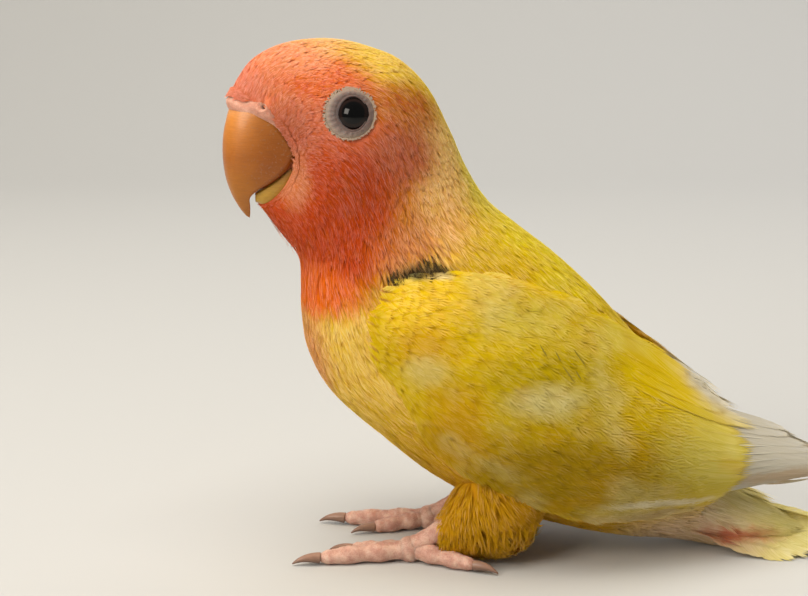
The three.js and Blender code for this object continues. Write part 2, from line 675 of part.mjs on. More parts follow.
function footSolid(side, back) {
  const start = new THREE.Vector3(sole.x + back, side * sole.y, sole.z);
  const end = start.clone().add(new THREE.Vector3(...ankle));
  const shaft = [0, 0.33, 0.66, 1].map((t) => start.clone().lerp(end, t));
  const tarsus = tubeSolid(shaft, [2.3, 1.9, 1.8, 2.2], 8);
  const pad = new THREE.SphereGeometry(sole.radius, 10, 6);
  pad.translate(start.x, start.y, start.z);
  const floor = Array.from({ length: pad.attributes.position.count }, (_, i) => i);
  floor.forEach((i) => pad.attributes.position.setZ(i, Math.max(pad.attributes.position.getZ(i), 0)));
  const pieces = toes.map((toe) => toeSolid(toe, side, back));
  return pieces.reduce((foot, piece) => foot.add(piece), tarsus.add(toSolid(pad)));
}

// Tail

function tailCoreSolid() {
  const sides = 16;
  const steps = 2;
  const rings = [];
  for (let row = 0; row <= (tailRungs.length - 1) * steps; row += 1) {
    const place = row / steps;
    const top = smoothPoint(tailRungs.map((rung) => rung.top), place);
    const bottom = smoothPoint(tailRungs.map((rung) => rung.bottom), place);
    const half = smoothValue(tailRungs.map((rung) => rung.half), place);
    rings.push(Array.from({ length: sides }, (_, i) => {
      const angle = (i / sides) * 2 * Math.PI;
      const down = (1 - Math.cos(angle)) / 2;
      const x = mix([top[0], bottom[0]], down);
      const z = mix([top[1], bottom[1]], down);
      return new THREE.Vector3(x, half * Math.sin(angle), z);
    }));
  }
  return toSolid(ringGeometry(rings));
}

function tailVanes(tier) {
  return Array.from({ length: tier.count }, (_, i) => {
    const place = i - (tier.count - 1) / 2;
    const out = Math.abs(place);
    const root = new THREE.Vector3(tier.rootX, tier.rootSpread * place, tier.rootZ - tier.rootDrop * out);
    const tip = new THREE.Vector3(
      tier.tipX - tier.tipStep * out * out,
      tier.tipSpread * place,
      tier.tipZ - tier.tipDrop * out,
    );
    const stations = Array.from({ length: tier.stations }, (_, row) => {
      const t = row / (tier.stations - 1);
      const slope = mix([tier.rootDrop / tier.rootSpread, tier.tipDrop / tier.tipSpread], t);
      const lean = -Math.sign(place) * slope;
      const side = new THREE.Vector3(0, 1, lean).normalize();
      return {
        middle: root.clone().lerp(tip, t),
        side,
        outward: new THREE.Vector3(0, -lean, 1).normalize(),
        half: (tier.width / 2) * vaneWidth(t),
        upper: VANE_THICKNESS / 2,
        under: -VANE_THICKNESS / 2,
        tilt: -Math.sign(place) * 0.2 * t,
      };
    });
    return vaneSolid(stations);
  });
}

// Assembly

const bird = new THREE.Group();

function place(name, solid, finishName) {
  const material = new THREE.MeshStandardMaterial({ ...finish[finishName], metalness: 0 });
  const mesh = new THREE.Mesh(toGeometry(largestPiece(solid)), material);
  mesh.name = name;
  bird.add(mesh);
}

const wholeBody = bodySolid(0, lastRung);
const bodyCutter = bodySolid(8, lastRung, GAP);
const upperBill = upperBillSolid();
const bothSides = [[-1, "left"], [1, "right"]];

let head = cutAt(wholeBody, headCut, true);
for (const [side, sideName] of bothSides) {
  const ball = eyeballSolid(side);
  const ballCutter = eyeballSolid(side, GAP);
  place(`eye_${sideName}`, ball, "eyeball");
  place(`eye_ring_${sideName}`, eyeRingSolid(side).subtract(ballCutter), "eyeSkin");
  head = head.subtract(ballCutter).subtract(eyeRingSolid(side, GAP));
}
const billCutter = upperBillSolid(GAP);
const pits = nostrilPits();
head = head.subtract(billCutter).subtract(pits);
const headCutter = cutAt(bodySolid(0, lastRung, GAP), headCut, true);
place("head", head, "faceFeathers");
place("neck", cutAt(cutAt(wholeBody, headCut, false), neckCut, true), "neckFeathers");
place("torso", cutAt(wholeBody, neckCut, false), "bodyFeathers");
place("cere", cereSolid().subtract(billCutter).subtract(headCutter).subtract(pits), "cere");
place("upper_bill", upperBill, "horn");
const lowerBill = ridgeSolid(lowerBillRungs, lowerBillProfile, 2);
place("lower_bill", lowerBill.subtract(billCutter).subtract(headCutter), "horn");

for (const [side, sideName] of bothSides) {
  const back = side > 0 ? rightFootBack : 0;
  const vanes = wingTiers.flatMap((tier) => wingVanes(tier, side));
  const wing = vanes.reduce((whole, vane) => whole.add(vane), wingShellSolid(side));
  place(`wing_${sideName}`, wing.subtract(bodyCutter), "wingFeathers");
  const thigh = thighSolid(side, back).subtract(bodyCutter).subtract(wingShellSolid(side, 1.2));
  place(`thigh_${sideName}`, thigh, "bodyFeathers");
  const foot = footSolid(side, back).subtract(thighSolid(side, back, GAP));
  place(`foot_${sideName}`, foot, "footSkin");
  for (const toe of toes) {
    place(`claw_${toe.name}_${sideName}`, clawSolid(toe, side, back), "claw");
  }
}

const tailTiers = [rectrices, upperTailCoverts, lowerTailCoverts];
const tail = tailTiers.flatMap(tailVanes).reduce((whole, vane) => whole.add(vane), tailCoreSolid());
place("tail", tail.subtract(bodyCutter), "tailFeathers");

export default bird;
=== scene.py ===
import math

import bpy
import numpy as np
from mathutils.kdtree import KDTree
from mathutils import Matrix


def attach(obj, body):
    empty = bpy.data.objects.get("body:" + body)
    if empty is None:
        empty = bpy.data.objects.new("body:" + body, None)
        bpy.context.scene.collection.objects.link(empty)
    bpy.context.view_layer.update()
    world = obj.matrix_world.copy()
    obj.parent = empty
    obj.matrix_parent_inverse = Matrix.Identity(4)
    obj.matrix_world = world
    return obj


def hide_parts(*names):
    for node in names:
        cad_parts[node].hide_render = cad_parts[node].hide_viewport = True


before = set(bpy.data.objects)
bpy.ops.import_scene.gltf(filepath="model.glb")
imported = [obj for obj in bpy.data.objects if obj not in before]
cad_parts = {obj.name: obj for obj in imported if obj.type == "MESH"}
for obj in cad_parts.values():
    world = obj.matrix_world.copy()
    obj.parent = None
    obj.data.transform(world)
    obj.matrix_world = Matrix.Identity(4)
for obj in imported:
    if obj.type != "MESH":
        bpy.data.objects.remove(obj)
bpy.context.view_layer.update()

# Lengths below are in mm and become metres when a mesh is made.
# The bill is towards -X, the bird's left side towards -Y, and the floor is at height 0.
mm = 0.001
rng = np.random.default_rng(41)

# The body as rungs from the face to the root of the tail:
# top (x, z), bottom (x, z), half width, and how far the sides bend back.
bodyRungs = np.array([
    [-57.4, 88.0, -52.5, 67.9, 5.6, 9.4],
    [-55.7, 91.2, -51.6, 66.7, 7.4, 9.1],
    [-53.1, 94.5, -50.7, 65.5, 9.2, 8.3],
    [-48.8, 96.9, -49.4, 63.8, 10.8, 7.0],
    [-43.4, 98.1, -48.3, 62.3, 12.1, 5.5],
    [-37.2, 98.1, -47.3, 61.0, 13.1, 3.9],
    [-31.8, 96.8, -46.5, 60.0, 13.8, 2.4],
    [-26.0, 94.4, -45.9, 59.2, 14.2, 1.1],
    [-20.8, 89.3, -45.3, 58.3, 14.3, 0.3],
    [-16.8, 81.8, -44.8, 57.1, 14.6, 0.0],
    [-13.3, 74.0, -44.6, 55.4, 15.3, 0.0],
    [-9.4, 68.0, -44.6, 52.4, 16.4, 0.0],
    [-3.7, 63.3, -44.5, 47.2, 17.6, 0.0],
    [3.6, 57.7, -43.3, 39.8, 18.6, 0.0],
    [11.2, 50.7, -38.9, 31.8, 19.2, 0.0],
    [17.8, 43.4, -29.9, 23.6, 19.0, 0.0],
    [23.6, 37.2, -19.6, 15.4, 17.8, 0.0],
    [28.4, 31.4, -8.0, 9.2, 15.6, 0.0],
    [32.0, 25.6, 4.6, 5.4, 12.8, 0.0],
    [34.4, 20.0, 15.6, 3.4, 9.8, 0.0],
    [36.0, 15.0, 25.2, 2.6, 7.0, 0.0],
])
# Soft swellings of the sides: x, z, reach and rise.
sideSwells = [(-35, 86, 5.5, -0.8), (-37, 72, 8, 1.0), (-20, 62, 5, -0.8)]

# The wing as rungs from its front edge to its tip: upper, middle and lower (x, y, z).
wingRungs = np.array([
    [[-23.5, 17.6, 58.0], [-29.0, 19.2, 46.5], [-26.5, 15.2, 34.0]],
    [[-14.0, 17.4, 58.6], [-19.5, 21.8, 43.5], [-20.4, 15.6, 25.6]],
    [[-3.0, 15.0, 56.8], [-7.5, 22.6, 38.5], [-10.6, 16.2, 18.2]],
    [[8.0, 10.6, 51.8], [4.5, 22.2, 33.0], [1.0, 16.0, 13.1]],
    [[18.0, 5.4, 45.0], [15.5, 19.8, 28.0], [14.0, 14.8, 10.2]],
    [[27.6, 1.8, 37.8], [27.2, 15.4, 24.0], [27.0, 12.0, 11.4]],
    [[36.4, 1.2, 31.4], [38.0, 10.8, 21.6], [38.4, 9.4, 13.8]],
    [[49.0, 1.0, 24.8], [50.4, 6.6, 20.0], [51.0, 6.4, 16.0]],
    [[59.0, 0.9, 18.8], [59.2, 3.6, 17.6], [59.2, 4.2, 16.6]],
])

# The thigh from the hip to the ankle: centre (x, y, z), half width and half height.
thighRungs = np.array([
    [1.6, 10.2, 12.5, 2.2, 2.6],
    [-1.2, 10.0, 12.2, 5.2, 6.4],
    [-5.0, 9.8, 11.8, 6.5, 8.2],
    [-9.0, 9.6, 11.3, 6.6, 8.4],
    [-12.8, 9.4, 10.4, 5.8, 7.4],
    [-15.8, 9.2, 8.6, 4.4, 5.4],
    [-18.0, 9.0, 6.6, 3.0, 3.2],
])
# The root of the tail: top (x, z), bottom (x, z) and half width.
tailRungs = np.array([
    [36.5, 15.1, 25.6, 2.4, 6.9],
    [39.0, 13.0, 31.0, 1.7, 6.8],
    [43.0, 10.2, 39.0, 1.3, 6.4],
    [47.5, 7.6, 46.0, 1.3, 5.4],
    [51.0, 5.6, 50.6, 1.6, 4.0],
])
pose = {
    "headTurnDeg": 6,
    "neckPivotX": -30,
    "rightFootBack": 4,
    "frontRoundness": 1.6,
    "sideFullness": 0.85,
}
sideNames = {-1: "left", 1: "right"}


# Small helpers for smooth curves, directions and meshes

def smoothRows(rows, place):
    # an even curve through the rows of a table
    rows = np.asarray(rows, float)
    place = np.asarray(place, float)
    start = np.clip(np.floor(place).astype(int), 0, len(rows) - 2)
    t = (place - start).reshape(place.shape + (1,) * (rows.ndim - 1))
    padded = np.concatenate([[2 * rows[0] - rows[1]], rows, [2 * rows[-1] - rows[-2]]])
    a, b, c, d = (padded[start + k] for k in range(4))
    bend = 2 * a - 5 * b + 4 * c - d
    return b + 0.5 * t * (c - a + t * (bend + t * (3 * (b - c) + d - a)))


def smoothStep(value, low, high):
    t = np.clip((np.asarray(value, float) - low) / (high - low), 0, 1)
    return t * t * (3 - 2 * t)


def unit(vectors):
    return vectors / np.maximum(np.linalg.norm(vectors, axis=-1, keepdims=True), 1e-9)


def blendOf(a, b, t):
    return a + (b - a) * t


def headTurned(points, rung):
    turn = math.radians(pose["headTurnDeg"]) * smoothStep(12 - np.asarray(rung, float), 0, 5)
    x = points[..., 0] - pose["neckPivotX"]
    y = points[..., 1]
    turned = [x * np.cos(turn) - y * np.sin(turn) + pose["neckPivotX"], x * np.sin(turn) + y * np.cos(turn)]
    return np.stack([*turned, points[..., 2]], -1)


def bodyAt(rung, angle, lift=0.0):
    rung, angle, lift = np.broadcast_arrays(*(np.asarray(v, float) for v in (rung, angle, lift)))
    topX, topZ, bottomX, bottomZ, half, bend = np.moveaxis(smoothRows(bodyRungs, rung), -1, 0)
    length = np.hypot(bottomX - topX, bottomZ - topZ)
    down = (1 - np.cos(angle)) / 2 * (1 + 2 * lift / length) - lift / length
    out = np.abs(np.sin(angle))
    x = topX + (bottomX - topX) * down + bend * out ** pose["frontRoundness"]
    z = topZ + (bottomZ - topZ) * down
    swell = 0
    for sx, sz, reach, rise in sideSwells:
        swell = swell + rise * np.exp(-((x - sx) ** 2 + (z - sz) ** 2) / reach ** 2)
    y = (half + swell * out + lift) * np.sign(np.sin(angle)) * out ** pose["sideFullness"]
    return headTurned(np.stack([x, y, z], -1), rung)


def tailAt(place, angle, lift=0.0):
    place, angle, lift = np.broadcast_arrays(*(np.asarray(v, float) for v in (place, angle, lift)))
    topX, topZ, bottomX, bottomZ, half = np.moveaxis(smoothRows(tailRungs, place), -1, 0)
    length = np.hypot(bottomX - topX, bottomZ - topZ)
    down = (1 - np.cos(angle)) / 2 * (1 + 2 * lift / length) - lift / length
    x = topX + (bottomX - topX) * down
    z = np.maximum(topZ + (bottomZ - topZ) * down, 0.05)
    return np.stack([x, (half + lift) * np.sin(angle), z], -1)


def wingSurface(side):
    # across runs from 0 at the upper edge to 1 at the lower edge
    rails = wingRungs * [1, side, 1]

    def bare(along, across):
        weights = [(1 - across) * (1 - 2 * across), 4 * across * (1 - across), across * (2 * across - 1)]
        return (smoothRows(rails, along) * np.stack(weights, -1)[..., None]).sum(-2)

    def wingAt(along, across, lift=0.0):
        along, across, lift = np.broadcast_arrays(*(np.asarray(v, float) for v in (along, across, lift)))
        lengthwise = bare(along + 0.02, across) - bare(along - 0.02, across)
        crosswise = bare(along, across + 0.01) - bare(along, across - 0.01)
        outward = unit(np.cross(lengthwise, crosswise)) * side
        return bare(along, across) + outward * lift[..., None]

    return wingAt


def thighSurface(side, back):
    def thighAt(place, angle, lift=0.0):
        place, angle, lift = np.broadcast_arrays(*(np.asarray(v, float) for v in (place, angle, lift)))
        x, y, z, halfY, halfZ = np.moveaxis(smoothRows(thighRungs, place), -1, 0)
        across = side * (y + (halfY + lift) * np.sin(angle))
        return np.stack([x + back, across, z + (halfZ + lift) * np.cos(angle)], -1)

    return thighAt


def framesOf(surface, p, q, handed):
    # steps along both directions of a surface and its outward direction
    step = 0.02
    alongP = (surface(p + step, q) - surface(p - step, q)) / (2 * step)
    alongQ = (surface(p, q + step) - surface(p, q - step)) / (2 * step)
    return alongP, alongQ, unit(np.cross(alongP, alongQ)) * handed


def stepFor(alongP, alongQ, offset):
    # how far to go in both directions of the surface for an offset in mm
    pp = (alongP * alongP).sum(-1)
    qq = (alongQ * alongQ).sum(-1)
    pq = (alongP * alongQ).sum(-1)
    dp = (offset * alongP).sum(-1)
    dq = (offset * alongQ).sum(-1)
    scale = np.maximum(pp * qq - pq * pq, 1e-9)
    return (dp * qq - dq * pq) / scale, (dq * pp - dp * pq) / scale


def makeMesh(name, points, triangles, material):
    mesh = bpy.data.meshes.new(name)
    points = np.asarray(points, np.float32).reshape(-1, 3) * mm
    triangles = np.asarray(triangles, np.int32).reshape(-1, 3)
    mesh.vertices.add(len(points))
    mesh.vertices.foreach_set("co", points.ravel())
    mesh.loops.add(triangles.size)
    mesh.loops.foreach_set("vertex_index", triangles.ravel())
    mesh.polygons.add(len(triangles))
    mesh.polygons.foreach_set("loop_start", np.arange(0, triangles.size, 3, dtype=np.int32))
    mesh.polygons.foreach_set("loop_total", np.full(len(triangles), 3, np.int32))
    mesh.polygons.foreach_set("use_smooth", np.ones(len(triangles), bool))
    mesh.update(calc_edges=True)
    mesh.validate()
    piece = bpy.data.objects.new(name, mesh)
    bpy.context.scene.collection.objects.link(piece)
    piece.data.materials.append(material)
    return piece


def addPiece(piece, slotName, *replaced):
    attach(piece, "root")
    if replaced:
        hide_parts(*replaced)
    return piece


def gridTriangles(rows, columns, wrapped):
    # triangles between the rows of a grid whose rows may close on themselves
    across = columns if wrapped else columns - 1
    r, c = np.meshgrid(np.arange(rows - 1), np.arange(across), indexing="ij")
    following = (c + 1) % columns
    a, b = r * columns + c, r * columns + following
    d, e = (r + 1) * columns + c, (r + 1) * columns + following
    faces = np.stack([np.stack([a, b, e], -1), np.stack([a, e, d], -1)], 2)
    return faces.reshape(-1, 3)


def loft(rings):
    # a closed form through rings of points, with a middle point in each end
    rings = np.asarray(rings, float)
    rows, columns = rings.shape[:2]
    points = np.concatenate([rings.reshape(-1, 3), rings[:1].mean(1), rings[-1:].mean(1)])
    sides = gridTriangles(rows, columns, True)
    around = np.arange(columns)
    following = (around + 1) % columns
    first, last = rows * columns, rows * columns + 1
    firstCap = np.stack([np.full(columns, first), following, around], -1)
    lastCap = np.stack([np.full(columns, last), around, following], -1)
    lastCap = lastCap + np.array([0, 1, 1]) * (rows - 1) * columns
    return points, np.concatenate([sides, firstCap, lastCap])


def joinParts(parts):
    points, triangles, start = [], [], 0
    for partPoints, partTriangles in parts:
        points.append(partPoints)
        triangles.append(partTriangles + start)
        start += len(partPoints)
    return np.concatenate(points), np.concatenate(triangles)


def outwardFaces(points, triangles):
    # turns a closed form's faces outwards
    a, b, c = (points[triangles[:, k]] for k in range(3))
    volume = (a * np.cross(b, c)).sum()
    return (points, triangles[:, ::-1]) if volume < 0 else (points, triangles)


# Feathers: each is a fan of fine barbs on a shaft, and each barb a thin closed blade

# A blade's corners: share of its length, edge (-1, 0 or 1), width and height of its ridge.
bladeForms = {
    "long": {
        "corners": np.array([
            [0, 0, 0, 0], [0.3, -1, 1, 0], [0.3, 0, 1, 1], [0.3, 1, 1, 0],
            [0.68, -1, 0.8, 0], [0.68, 0, 0.8, 1], [0.68, 1, 0.8, 0], [1, 0, 0, 0],
        ]),
        "top": [[0, 1, 2], [0, 2, 3], [1, 4, 5], [1, 5, 2], [2, 5, 6], [2, 6, 3], [4, 7, 5], [5, 7, 6]],
        "under": [[0, 3, 1], [3, 6, 4], [3, 4, 1], [6, 7, 4]],
    },
    "short": {
        "corners": np.array([[0, 0, 0, 0], [0.5, -1, 1, 0], [0.5, 0, 1, 1], [0.5, 1, 1, 0], [1, 0, 0, 0]]),
        "top": [[0, 1, 2], [0, 2, 3], [1, 4, 2], [2, 4, 3]],
        "under": [[0, 3, 1], [1, 3, 4]],
    },
}


def featherOutline(t, widest, baseShare):
    # share of the half width along a feather that is rounded at its tip
    opening = baseShare + (1 - baseShare) * np.sin(np.pi / 2 * np.clip(t / widest, 0, 1))
    closing = np.clip((t - widest) / (1 - widest), 0, 1)
    return opening * np.sqrt(1 - closing ** 2)


# How barbs lie along the shaft, bend outwards, and wear and jitter in clumps.
barbHabit = {
    "offset": 0.3, "shaftEnd": 0.93, "shaftRidge": 1.5, "bend": 1.7, "clump": 3, "endNoise": 0.5,
    "endWear": 0.45, "sideNoise": 0.7, "sideWear": 0.6, "sideJitter": 0.35, "floorGap": 0.03,
    "uvPatch": 0.003,
}


def barbFan(look):
    # start and end along the shaft and end across it, for the barbs of one feather
    count = look["barbs"]
    start = (np.arange(count) + 0.5) / count * (1 - look["reach"])
    end = start + look["reach"]
    across = featherOutline(end, look["widest"], look["base"])
    middle = 1 - look["reach"]
    starts = np.concatenate([start, start + barbHabit["offset"] * middle / count, [middle]])
    ends = np.concatenate([end, end, [1.0]])
    sides = np.concatenate([-across, across, [0.0]])
    shaft = np.zeros(len(starts))
    if look["shaft"] > 0:
        starts, sides = np.append(starts, 0.0), np.append(sides, 0.0)
        ends = np.append(ends, barbHabit["shaftEnd"])
        shaft = np.append(shaft, 1.0)
    return starts, ends, sides, shaft


def growFeathers(surface, handed, roots, tips, look, unwrap):
    # roots and tips are places on the surface, unwrap is where they lie on the UV map
    count = len(roots)
    blade = bladeForms[look.get("blade", "short")]
    shares, edges, widths, ridges = blade["corners"].T
    corners = len(shares)
    halfWidth = np.broadcast_to(look["halfWidth"], (count,))
    step = tips - roots
    stationShares = np.linspace(0, 1, look["stations"])
    centre = roots[:, None, :] + step[:, None, :] * stationShares[None, :, None]
    alongP, alongQ, outward = framesOf(surface, centre[..., 0], centre[..., 1], handed)
    lengthwise = alongP * step[:, None, :1] + alongQ * step[:, None, 1:]
    length = np.linalg.norm(lengthwise, axis=-1).mean(1)
    lengthwise = unit(lengthwise)
    crosswise = unit(np.cross(outward, lengthwise))
    perMmP, perMmQ = stepFor(alongP, alongQ, crosswise)

    starts, ends, sides, shaft = barbFan(look)
    barbs = len(starts)
    ragged = look["ragged"]
    clump, bend = barbHabit["clump"], barbHabit["bend"]
    clumps = np.repeat(rng.normal(0, 1, (count, barbs // clump + 1)), clump, axis=1)[:, :barbs]
    wear = (rng.normal(0, barbHabit["endNoise"], (count, barbs)) + clumps) * ragged * barbHabit["endWear"]
    end = ends + wear * (1 - shaft)
    wear = (rng.normal(0, barbHabit["sideNoise"], (count, barbs)) + clumps) * ragged * barbHabit["sideWear"]
    side = sides * (1 + wear)
    side = side + rng.normal(0, ragged * barbHabit["sideJitter"], (count, barbs)) * (1 - shaft)
    lifted = rng.normal(0, look["fluff"], (count, barbs)) * (1 - shaft)
    bladeHalf = look["barbWidth"] / 2 * (1 - shaft) + look["shaft"] / 2 * shaft
    ridge = look["thickness"] * (1 + shaft * barbHabit["shaftRidge"])

    full = (count, barbs, corners)
    share = np.broadcast_to(shares, full)
    start3, end3 = np.broadcast_to(starts[None, :, None], full), end[..., None]
    reachAcross = (side * halfWidth[:, None])[..., None]
    t = start3 + (end3 - start3) * share
    v = reachAcross * (1 - (1 - share) ** bend)
    alongBlade = (end3 - start3) * length[:, None, None]
    acrossBlade = reachAcross * bend * (1 - share) ** (bend - 1)
    size = np.maximum(np.hypot(alongBlade, acrossBlade), 1e-6)
    width = edges * widths * bladeHalf[None, :, None]
    t = t - acrossBlade / size * width / length[:, None, None]
    v = v + alongBlade / size * width
    along = np.clip(t, 0, 1)
    rise = look["rootLift"] + (look["tipLift"] - look["rootLift"]) * (1 - (1 - along) ** look["arch"])
    edgeward = v / halfWidth[:, None, None]
    lean = look.get("tilt", 0) * edgeward * along - look["camber"] * edgeward ** 2
    lift = rise + lean + ridge[None, :, None] * ridges + lifted[..., None] * share ** 2

    at = along * (look["stations"] - 1)
    low = np.minimum(at.astype(int), look["stations"] - 2)
    part = (at - low)[..., None]
    feather = np.arange(count)[:, None, None]

    def between(values):
        return values[feather, low] * (1 - part) + values[feather, low + 1] * part

    acrossP, acrossQ = between(np.stack([perMmP, perMmQ], -1)).transpose(3, 0, 1, 2)
    p = roots[:, 0, None, None] + step[:, 0, None, None] * t + acrossP * v
    q = roots[:, 1, None, None] + step[:, 1, None, None] * t + acrossQ * v
    points = surface(p, q, lift)
    points[..., 2] = np.maximum(points[..., 2], barbHabit["floorGap"])
    normals = unit(between(outward) + look["roundness"] * edges[:, None] * between(crosswise))

    offsets = (np.arange(count * barbs) * corners)[:, None, None]
    triangles = (np.array(blade["top"] + blade["under"])[None] + offsets).reshape(-1, 3)
    facing = np.repeat([1] * len(blade["top"]) + [-1] * len(blade["under"]), 3)
    facing = np.tile(facing, count * barbs)
    loopNormals = normals.reshape(-1, 3)[triangles.ravel()] * facing[:, None]
    # the patch of each feather on the UV map, at its root's place
    first = np.array(unwrap["from"])
    rootUv = np.array(unwrap["at"]) + (roots - first) / (unwrap["to"] - first) * np.array(unwrap["size"])
    patch = np.stack([v / halfWidth[:, None, None] * 0.5, along - 0.5], -1) * barbHabit["uvPatch"]
    place = surface(roots[:, 0], roots[:, 1])
    tone = rng.uniform(-1, 1, count)
    return {
        "points": points.reshape(-1, 3),
        "triangles": triangles,
        "normals": loopNormals,
        "uv": (rootUv[:, None, None, :] + patch).reshape(-1, 2),
        "tone": np.broadcast_to(tone[:, None, None], full).reshape(-1),
        "barbTone": np.broadcast_to(rng.uniform(-1, 1, (count, barbs))[..., None], full).reshape(-1),
        "along": along.reshape(-1),
        "shaft": np.broadcast_to(shaft[None, :, None], full).reshape(-1),
        "rootPlace": np.broadcast_to(place[:, None, None, :], (*full, 3)).reshape(-1, 3) * mm,
    }


def makeCoat(name, batches, material, slotName, *replaced):
    # joins batches of feathers to one piece with their shades, places and UV patches
    starts = np.cumsum([0] + [len(batch["points"]) for batch in batches])
    keys = ("points", "normals", "uv", "tone", "barbTone", "along", "shaft", "rootPlace")
    joined = {key: np.concatenate([batch[key] for batch in batches]) for key in keys}
    triangles = np.concatenate([batch["triangles"] + first for batch, first in zip(batches, starts)])
    piece = makeMesh(name, joined["points"], triangles, material)
    mesh = piece.data
    uv = mesh.uv_layers.new(name="OFBake")
    uv.data.foreach_set("uv", joined["uv"][triangles.ravel()].astype(np.float32).ravel())
    for key in ("tone", "barbTone", "along", "shaft"):
        layer = mesh.attributes.new(key, "FLOAT", "POINT")
        layer.data.foreach_set("value", joined[key].astype(np.float32))
    layer = mesh.attributes.new("rootPlace", "FLOAT_VECTOR", "POINT")
    layer.data.foreach_set("vector", joined["rootPlace"].astype(np.float32).ravel())
    mesh.normals_split_custom_set(joined["normals"].astype(np.float32))
    print(name, len(triangles), "triangles")
    return addPiece(piece, slotName, *replaced)


# Grid cells each way, share of the places a full cover takes, and tries for each place.
scattering = {"cells": 160, "cover": 0.7, "crowding": 6}


def evenly(spacing):
    return lambda p, q: np.full(np.shape(p), spacing)


def scatter(surface, handed, low, high, spacingAt, keep):
    # roots over a surface, none nearer to the next than the spacing there
    cells = scattering["cells"]
    spanP, spanQ = high[0] - low[0], high[1] - low[1]
    p = low[0] + (np.arange(cells) + 0.5) / cells * spanP
    q = low[1] + (np.arange(cells) + 0.5) / cells * spanQ
    gridP, gridQ = np.meshgrid(p, q, indexing="ij")
    alongP, alongQ, _ = framesOf(surface, gridP, gridQ, handed)
    area = np.linalg.norm(np.cross(alongP, alongQ), axis=-1) * (spanP * spanQ / cells ** 2)
    wanted = scattering["cover"] * area / spacingAt(gridP, gridQ) ** 2
    wanted[~keep(gridP, gridQ, surface(gridP, gridQ))] = 0
    count = int(wanted.sum() * scattering["crowding"])
    chosen = rng.choice(wanted.size, count, p=(wanted / wanted.sum()).ravel())
    rootP = gridP.ravel()[chosen] + rng.uniform(-0.5, 0.5, count) * spanP / cells
    rootQ = gridQ.ravel()[chosen] + rng.uniform(-0.5, 0.5, count) * spanQ / cells
    places = surface(rootP, rootQ)
    inside = keep(rootP, rootQ, places)
    rootP, rootQ, places = rootP[inside], rootQ[inside], places[inside]
    spacing = spacingAt(rootP, rootQ)
    tree = KDTree(len(places))
    for i, spot in enumerate(places):
        tree.insert(spot, i)
    tree.balance()
    free = np.ones(len(places), bool)
    kept = []
    for i, spot in enumerate(places):
        if free[i]:
            kept.append(i)
            for _, j, _ in tree.find_range(spot, spacing[i]):
                free[j] = False
    return np.stack([rootP[kept], rootQ[kept]], -1), places[kept]


def tipsFrom(surface, handed, roots, length, flow):
    # the other ends of feathers of a length that lie along the flow at their roots
    alongP, alongQ, outward = framesOf(surface, roots[:, 0], roots[:, 1], handed)
    ahead = unit(flow - (flow * outward).sum(-1, keepdims=True) * outward)
    stepP, stepQ = stepFor(alongP, alongQ, ahead * np.asarray(length).reshape(-1, 1))
    return roots + np.stack([stepP, stepQ], -1)


def growTufts(surface, handed, roots, flow, look, unwrap):
    low, high = look.get("lengths", (0.85, 1.15))
    tips = tipsFrom(surface, handed, roots, look["length"] * rng.uniform(low, high, len(roots)), flow)
    return growFeathers(surface, handed, roots, tips, look, unwrap)


print("helpers ready")


# Shader building blocks

def srgb(code):
    # a web colour as the linear colour that sockets take
    channels = [int(code[i:i + 2], 16) / 255 for i in (0, 2, 4)]
    return (*[c / 12.92 if c <= 0.04045 else ((c + 0.055) / 1.055) ** 2.4 for c in channels], 1)


def put(tree, kind, sockets, **settings):
    # a new node whose sockets are linked or get plain values
    node = tree.nodes.new(kind)
    for key, value in settings.items():
        setattr(node, key, value)
    for key, value in sockets.items():
        if isinstance(value, bpy.types.NodeSocket):
            tree.links.new(value, node.inputs[key])
        else:
            node.inputs[key].default_value = value
    return node


def mathOf(tree, operation, *values):
    return put(tree, "ShaderNodeMath", dict(enumerate(values)), operation=operation).outputs[0]


def vectorOf(tree, operation, *values):
    return put(tree, "ShaderNodeVectorMath", dict(enumerate(values)), operation=operation).outputs[0]


def scaledVector(tree, vector, scale):
    return put(tree, "ShaderNodeVectorMath", {0: vector, "Scale": scale}, operation="SCALE").outputs[0]


def measureOf(tree, operation, *vectors):
    # a length, or how far one vector reaches along another
    return put(tree, "ShaderNodeVectorMath", dict(enumerate(vectors)), operation=operation).outputs["Value"]


def mapRange(tree, value, low, high, toLow=0.0, toHigh=1.0, kind="SMOOTHSTEP"):
    sockets = {"Value": value, "From Min": low, "From Max": high, "To Min": toLow, "To Max": toHigh}
    return put(tree, "ShaderNodeMapRange", sockets, interpolation_type=kind).outputs["Result"]


def mixColour(tree, share, first, second, way="MIX"):
    sockets = {0: share, 6: first, 7: second}
    return put(tree, "ShaderNodeMix", sockets, data_type="RGBA", blend_type=way).outputs[2]


def mixValue(tree, share, first, second):
    return put(tree, "ShaderNodeMix", {0: share, 2: first, 3: second}, data_type="FLOAT").outputs[0]


def noiseOf(tree, vector, scale, detail=2.0, roughness=0.5):
    sockets = {"Vector": vector, "Scale": scale, "Detail": detail, "Roughness": roughness}
    return put(tree, "ShaderNodeTexNoise", sockets).outputs["Fac"]


def newGroup(name, inputs, outputs):
    group = bpy.data.node_groups.new(name, "ShaderNodeTree")
    for way, sockets in (("INPUT", inputs), ("OUTPUT", outputs)):
        for label, kind in sockets.items():
            group.interface.new_socket(name=label, in_out=way, socket_type=kind)
    return group, put(group, "NodeGroupInput", {}).outputs, put(group, "NodeGroupOutput", {}).inputs


def newMaterial(name, **sockets):
    material = bpy.data.materials.new(name)
    material.use_nodes = True
    tree = material.node_tree
    shader = tree.nodes["Principled BSDF"]
    for key, value in sockets.items():
        shader.inputs[key.replace("_", " ")].default_value = value
    return material, tree, shader.inputs


def attributeOf(tree, name, output="Fac"):
    return put(tree, "ShaderNodeAttribute", {}, attribute_name=name).outputs[output]


